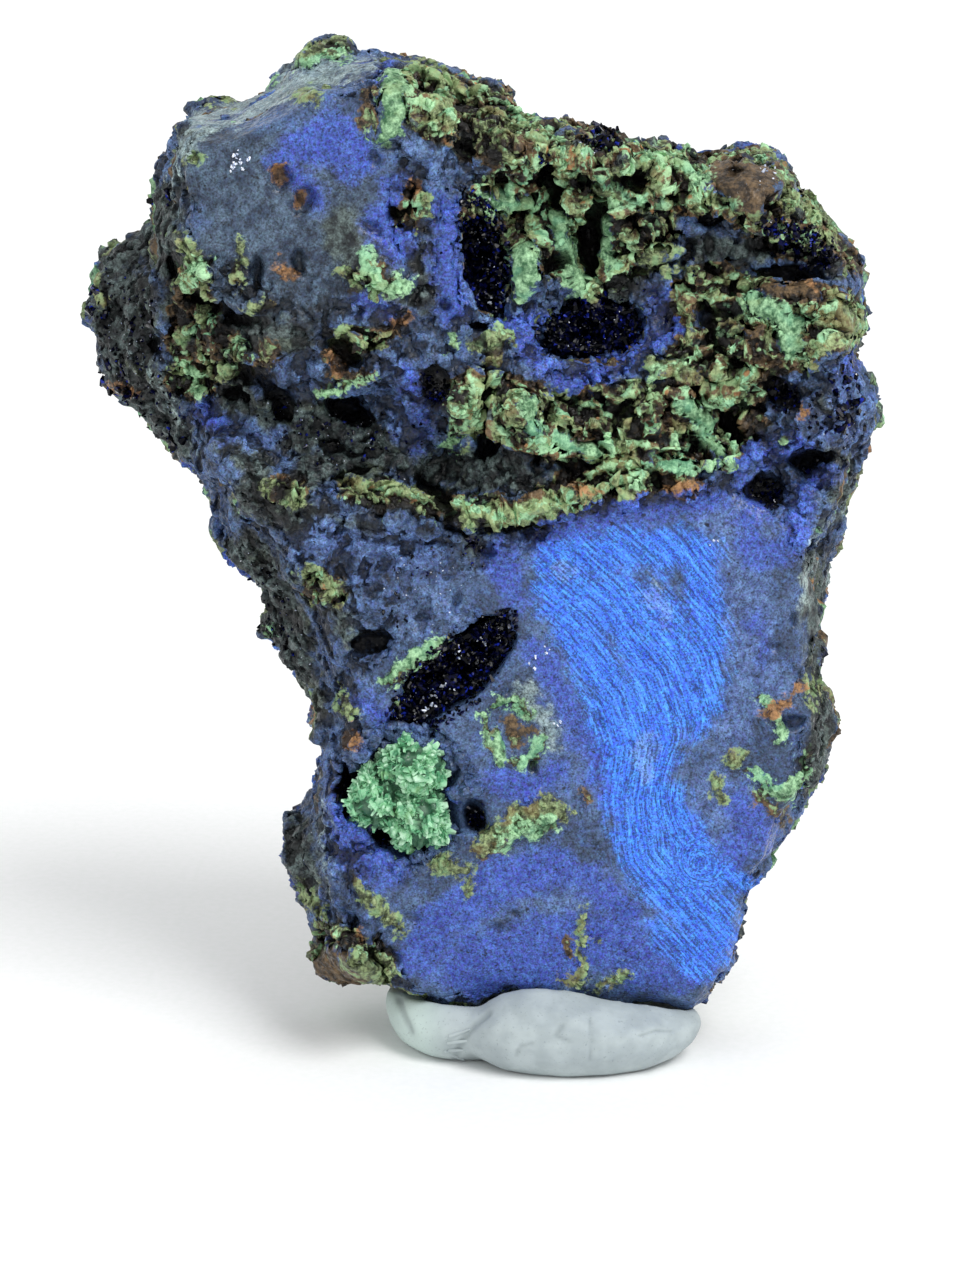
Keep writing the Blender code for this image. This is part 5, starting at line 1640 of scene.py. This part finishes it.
# %% Mineral skin: fibres of the bright band
across_along = axes(band.outputs["Vector"])
fibre_place = add_node("ShaderNodeCombineXYZ", {
    0: across_along[0], 1: sum_of(across_along[1], 0.11, "MULTIPLY"),
    2: sum_of(patchy, 0.25, "MULTIPLY")}).outputs[0]
fibres = add_node("ShaderNodeTexNoise", {
    "Vector": fibre_place, "Scale": 4.6, "Detail": 5.0, "Roughness": 0.62}).outputs["Fac"]
mark_place = add_node("ShaderNodeCombineXYZ", {
    0: across_along[0], 1: sum_of(across_along[1], 0.06, "MULTIPLY"),
    2: sum_of(blotch, 0.8, "MULTIPLY")}).outputs[0]
marks = add_node("ShaderNodeTexNoise", {
    "Vector": mark_place, "Scale": 6.5, "Detail": 3.0, "Roughness": 0.6}).outputs["Fac"]
bands = add_node("ShaderNodeTexNoise", {
    "Vector": fibre_place, "Scale": 0.75, "Detail": 2.0, "Roughness": 0.5}).outputs["Fac"]

# %% Mineral skin: azurite tones
slate = over(between(blotch, 0.35, 0.65), tint("2e3d58"), tint("4d6389"))
slate = over(between(patchy, 0.45, 0.72, 0.0, 0.6), slate, tint("435e9a"))
grey = over(between(patchy, 0.35, 0.65), tint("243044"), tint("46576a"))
slate = over(broken_edge(across_along[2], wide_fray, 0.2), slate, grey)
charcoal = over(between(patchy, 0.38, 0.62), tint("10151a"), tint("4c5857"))
charcoal = over(between(blotch, 0.56, 0.70, 0.0, 0.6), charcoal, tint("4a5240"))
colour = over(broken_edge(charcoal_c, wide_fray, 0.14), slate, charcoal)
violet = over(between(patchy, 0.35, 0.7), tint("384a76"), tint("566f9e"))
colour = over(broken_edge(violet_c, wide_fray, 0.16), colour, violet)
royal = over(between(patchy, 0.32, 0.68), tint("2f4290"), tint("4059a4"))
colour = over(broken_edge(royal_c, sum_of(wide_fray, fray_fine), 0.22), colour, royal)
azure = over(between(fibres, 0.34, 0.66), tint("2857c2"), tint("4380e0"))
azure = over(between(bands, 0.38, 0.62, 0.0, 0.45), azure, tint("3468dc"))
bright_edge = sum_of(fray, between(fibres, 0.3, 0.7, -0.12, 0.12, False))
colour = over(broken_edge(bright_c, bright_edge, 0.26), colour, azure)
# Painted sheen on the bevel and painted highlights along edges, over a few light spots.
light_tone_and_sheen_colour = over(between(patchy, 0.35, 0.7), tint("62747a"), tint("97a8a2"))
light_tone_and_sheen_mask = sum_of(broken_edge(tones_with_sheen.outputs["Alpha"], edge, 0.10), 0.78, "MULTIPLY")
light_tone_and_sheen_mask = sum_of(light_tone_and_sheen_mask, between(bright_c, 0.45, 0.6, 1.0, 0.35), "MULTIPLY")
colour = over(light_tone_and_sheen_mask, colour, light_tone_and_sheen_colour)

# %% Mineral skin: grain of the azurite
grain_rough = between(sum_of(fine, speck), 0.78, 1.22, 0.28, 1.68, False)
grain_even = between(sum_of(speck, marks), 0.84, 1.16, 0.32, 1.44, False)
grain_kind = sum_of(ground_c, between(bright_c, 0.35, 0.55, 0.22, 1.0), "MULTIPLY")
grain_tone_and_painted_light = add_node("ShaderNodeMix", {0: grain_kind, 2: grain_rough, 3: grain_even}).outputs[0]
grain_tone_and_painted_light = sum_of(grain_tone_and_painted_light, between(fibres, 0.3, 0.7, 0.86, 1.14, False), "MULTIPLY")
# Painted light and shade: high ground is lightened up to twice and low ground darkened.
grain_tone_and_painted_light = sum_of(grain_tone_and_painted_light, between(height_for_painted_light, 0.25, 0.95, 0.70, 2.0, False), "MULTIPLY")
pinholes = between(grains(place, 0.42, 2.0, 0.5).outputs["Fac"], 0.66, 0.72)
pinholes = sum_of(pinholes, between(bright_c, 0.45, 0.60, 0.85, 0.0), "MULTIPLY")
grain_hue = between(channels(hue_speck)[0], 0.3, 0.7, 0.484, 0.514, False)
colour = add_node("ShaderNodeHueSaturation", {
    "Hue": grain_hue, "Saturation": 1.0, "Value": grain_tone_and_painted_light, "Fac": 1.0, "Color": colour}).outputs[0]
colour = over(pinholes, colour, tint("0b0d14"))
# Black: the dark crystals lining the holes, with painted shade in those holes.
black = over(between(fine, 0.45, 0.7), tint("04050a"), tint("12164a"))
colour = over(broken_edge(black_and_hole_shade_c, edge, 0.08), colour, black)

# %% Mineral skin: malachite and limonite
# Painted light and shade: the crusts are lighter on high ground and darker on low, over their own mottled
# tones.
crumb_tone_and_painted_light = sum_of(sum_of(fine, patchy), sum_of(height_for_painted_light, 0.5, "MULTIPLY"))
crumb_tone_and_painted_light = between(crumb_tone_and_painted_light, 1.02, 1.58)
brown = over(crumb_tone_and_painted_light, tint("20170f"), tint("80684a"))
colour = over(broken_edge(brown_c, edge, 0.05), colour, brown)
olive = over(crumb_tone_and_painted_light, tint("2f371f"), tint("a6b883"))
olive = over(between(patchy, 0.50, 0.64, 0.0, 0.6), olive, tint("78a474"))
olive = over(between(hue_place, 0.54, 0.66, 0.0, 0.4), olive, tint("8a6f45"))
colour = over(broken_edge(olive_c, edge, 0.05), colour, olive)
mint = over(crumb_tone_and_painted_light, tint("35603f"), tint("b4e2b0"))
mint = over(between(blotch, 0.52, 0.66, 0.0, 0.45), mint, tint("90a56c"))
mint = over(between(hue_place, 0.36, 0.48, 0.35, 0.0), mint, tint("7cc4a0"))
colour = over(broken_edge(mint_c, edge, 0.05), colour, mint)
rust = over(crumb_tone_and_painted_light, tint("553a24"), tint("b3865a"))
colour = over(broken_edge(crusts.outputs["Alpha"], edge, 0.06), colour, rust)
# Painted shade: the colour goes towards near black as the painted shade rises.
dark = between(recess, 0.05, 0.95, 0.0, 0.95, False)
colour = over(dark, colour, tint("060608"))

# %% Mineral skin: shine and relief
crystal_faces = cells(place, 0.24)
facet_light = channels(crystal_faces.outputs["Color"])[0]
shine = between(facet_light, 0.1, 0.95, 0.24, 0.84, False)
shine = sum_of(shine, between(mint_c, 0.4, 0.6, 0.0, 0.18), "ADD", True)
relief = sum_of(sum_of(fine, 0.8, "MULTIPLY"), sum_of(speck, 0.35, "MULTIPLY"))
relief = sum_of(relief, sum_of(crystal_faces.outputs["Distance"], -0.5, "MULTIPLY"))
depth = between(ground_c, 0.0, 1.0, 1.0, 0.22, False)
scratches = sum_of(fibres, sum_of(ground_c, 0.16, "MULTIPLY"), "MULTIPLY")
height = sum_of(sum_of(relief, depth, "MULTIPLY"), scratches)
bump = bumps(height, 0.85, 0.11)
close_finish({"Base Color": colour, "Roughness": shine, "Normal": bump, "Specular IOR Level": 0.42})

# %% [markdown]
# ### Crystals, blades and putty
# Dark azurite crystals are nearly black with a glassy shine, and blue only where light passes an
# edge.  The malachite blades are silky green, with painted shade at their feet and painted light at
# their tips.  The putty is dull and even, with fingertip lines and painted shade in its crease.

# %% Dark crystals
crystal, tree = new_finish("dark_crystal")
place = spot_of()
shades = channels(cells(place, 0.26).outputs["Color"])
streak = grains(place, 0.2, 2.0).outputs["Fac"]
colour = over(between(shades[0], 0.6, 1.0), tint("020308"), tint("0b0f3a"))
colour = over(between(shades[1], 0.93, 0.99), colour, tint("1b2c9a"))
shine = between(streak, 0.3, 0.7, 0.06, 0.24, False)
flash = between(shades[2], 0.80, 0.90, 0.10, 1.0)
bump = bumps(streak, 0.25, 0.04)
close_finish({"Base Color": colour, "Roughness": shine, "Normal": bump, "Specular IOR Level": flash})

# %% White flecks and painted glints
glint, tree = new_finish("white_fleck_and_painted_glint")
place = spot_of()
streak = grains(place, 0.12, 1.0).outputs["Fac"]
# Painted glint: a near-white colour stands in for a flash of light.
colour = over(between(streak, 0.35, 0.6), tint("8fa3c9"), tint("f2f6ff"))
close_finish({"Base Color": colour, "Roughness": 0.12, "Specular IOR Level": 0.8})

# %% Malachite blades
blades, tree = new_finish("malachite_blades")
place = spot_of()
shades = channels(cells(place, 0.34).outputs["Color"])
silk = grains(place, 0.16, 3.0).outputs["Fac"]
swell = grains(place, 1.6, 2.0).outputs["Fac"]
height_for_painted_light = axes(kept("level").outputs["Vector"])[0]
colour = over(between(shades[0], 0.1, 0.95), tint("509a6d"), tint("92cea0"))
colour = over(between(silk, 0.5, 0.75, 0.0, 0.6), colour, tint("b2e0b8"))
colour = over(between(swell, 0.58, 0.72, 0.0, 0.45), colour, tint("6f8f4e"))
# Painted shade at the feet of the blades and painted light at their tips.
colour = over(between(height_for_painted_light, 0.0, 0.7, 0.80, 0.0), colour, tint("14382a"))
colour = over(between(height_for_painted_light, 0.7, 1.7, 0.0, 0.6), colour, tint("d2f2d6"))
shine = between(shades[1], 0.0, 1.0, 0.28, 0.62, False)
bump = bumps(silk, 0.5, 0.05)
close_finish({"Base Color": colour, "Roughness": shine, "Normal": bump, "Specular IOR Level": 0.5})

# %% Putty
dull, tree = new_finish("grey_putty")
place = spot_of()
painted_crease_shade = axes(kept("crease").outputs["Vector"])[0]
cloud = grains(place, 2.4, 3.0).outputs["Fac"]
dust = grains(place, 0.18, 2.0).outputs["Fac"]
tip_lines = add_node("ShaderNodeTexWave", {
    "Vector": place, "Scale": 0.34 / MM, "Distortion": 2.2, "Detail": 1.0, "Detail Scale": 0.12,
    "Detail Roughness": 0.4}, bands_direction="DIAGONAL").outputs["Fac"]
line_mask = between(cloud, 0.46, 0.62)
colour = over(between(cloud, 0.35, 0.65), tint("a0aaac"), tint("b0babb"))
side = axes(place)[0]
colour = over(between(side, -8.5 * MM, -6.0 * MM, 1.0, 0.0), colour, tint("c0d0cb"))
colour = over(between(dust, 0.62, 0.72, 0.0, 0.5), colour, tint("7f898c"))
# Painted shade darkens the crease.
colour = over(sum_of(painted_crease_shade, 0.5, "MULTIPLY"), colour, tint("7d8789"))
height = sum_of(sum_of(tip_lines, line_mask, "MULTIPLY"), 0.35, "MULTIPLY")
height = sum_of(height, sum_of(dust, 0.5, "MULTIPLY"))
bump = bumps(height, 0.45, 0.04)
close_finish({"Base Color": colour, "Roughness": 0.72, "Normal": bump, "Specular IOR Level": 0.35})

# %% [markdown]
# ## Hand the pieces over
# The fine net is too heavy for one piece, so it is cut into upright strips of equal weight, whose edges
# meet point for point.  Then every piece gets its finish and slot, and the frame's own nodes are
# hidden.

# %% Cut the fine net into strips
STRIPS = ("far_left", "left", "middle", "right", "far_right")
face_u = to_grid(read_skin(fine_net)[0][[face.vertices[0] for face in fine_net.data.polygons]])[0]
cut_lines = np.quantile(face_u, np.linspace(0.0, 1.0, len(STRIPS) + 1))
cut_lines[-1] += 1.0
ground_strips = []
for strip, low_u, high_u in zip(STRIPS, cut_lines, cut_lines[1:]):
    ground_strips.append(part_of(fine_net, "broken_ground_" + strip, (face_u >= low_u) & (face_u < high_u)))
bpy.data.objects.remove(fine_net)
print("strips of broken ground:", [triangles(piece) for piece in ground_strips], "triangles")

# %% Dress the pieces


def dress(finish, pieces):
    """Give pieces their finish and slot, and let them ride on the one body."""
    for piece in pieces:
        piece.data.materials.clear()
        piece.data.materials.append(finish)
        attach(piece, "root")


dress(skin, (body, *ground_strips, crust_crumbs, front_crumbs, back_crumbs, collar))
dress(crystal,
      (slit_crystals, slot_crystals, pocket_crystals, open_crystals, big_crystals, strewn_crystals))
dress(glint, (flecks, glints))
dress(blades, (rosette,))
dress(dull, (putty, putty_strings))
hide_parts("stone")
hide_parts("slit_druse")
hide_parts("slot_druse")
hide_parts("pocket_druse")
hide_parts("malachite_rosette")
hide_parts("putty")

# %% [markdown]
# ## Table, light and camera
# The specimen stands on plain white card under a large soft lamp from the upper right, with whitish
# surroundings that fill the shadows.  A small lamp adds the crisp flashes on the crystals.

# %% Table
TABLE_SIZE = 8.0
sheet = bmesh.new()
bmesh.ops.create_grid(sheet, x_segments=2, y_segments=2, size=TABLE_SIZE / 2)
table = new_piece(sheet, "table")
card, tree = new_finish("white_card")
place = spot_of()
fibre = grains(place, 0.6, 3.0).outputs["Fac"]
colour = over(between(fibre, 0.3, 0.7), tint("f6f7f6"), tint("fafafa"))
close_finish({"Base Color": colour, "Roughness": 0.8, "Specular IOR Level": 0.1})
table.data.materials.append(card)
print("table", TABLE_SIZE, "m wide")

# %% Light
KEY_FROM = Vector((0.42, -0.55, 0.92))
KEY_STRENGTH = 1.45
KEY_SPREAD = 26.0
SKY_STRENGTH = 0.84

scene = bpy.context.scene
sky = bpy.data.worlds.new("studio")
sky.use_nodes = True
sky.node_tree.nodes["Background"].inputs[0].default_value = (0.98, 0.99, 1.0, 1.0)
sky.node_tree.nodes["Background"].inputs[1].default_value = SKY_STRENGTH
scene.world = sky
key_lamp = bpy.data.lights.new("key", "SUN")
key_lamp.energy = KEY_STRENGTH
key_lamp.angle = math.radians(KEY_SPREAD)
key = bpy.data.objects.new("key", key_lamp)
key.rotation_euler = KEY_FROM.to_track_quat("Z", "Y").to_euler()
scene.collection.objects.link(key)
spot_lamp = bpy.data.lights.new("flash", "AREA")
spot_lamp.shape = "RECTANGLE"
spot_lamp.size = 0.05
spot_lamp.size_y = 0.05
spot_lamp.energy = 0.12
spot = bpy.data.objects.new("flash", spot_lamp)
spot.location = Vector((0.10, -0.22, 0.20))
spot.rotation_euler = (spot.location - VIEW_TARGET * MM).to_track_quat("Z", "Y").to_euler()
scene.collection.objects.link(spot)
scene.view_settings.view_transform = "Standard"
print("lamps:", key.name, spot.name)

# %% Camera
FRAME_HEIGHT = GRID_SIZE[1] / GRID_PER_MM
eye_lens = bpy.data.cameras.new("eye")
eye_lens.sensor_fit = "VERTICAL"
eye_lens.sensor_height = 36.0
eye_lens.lens = 36.0 * VIEW_DISTANCE / FRAME_HEIGHT
eye_lens.clip_start = 0.01
eye_lens.clip_end = 20.0
eye = bpy.data.objects.new("eye", eye_lens)
eye.location = EYE * MM
eye.rotation_euler = (EYE - VIEW_TARGET).to_track_quat("Z", "Y").to_euler()
scene.collection.objects.link(eye)
scene.camera = eye
print("lens", round(eye_lens.lens, 1), "mm")
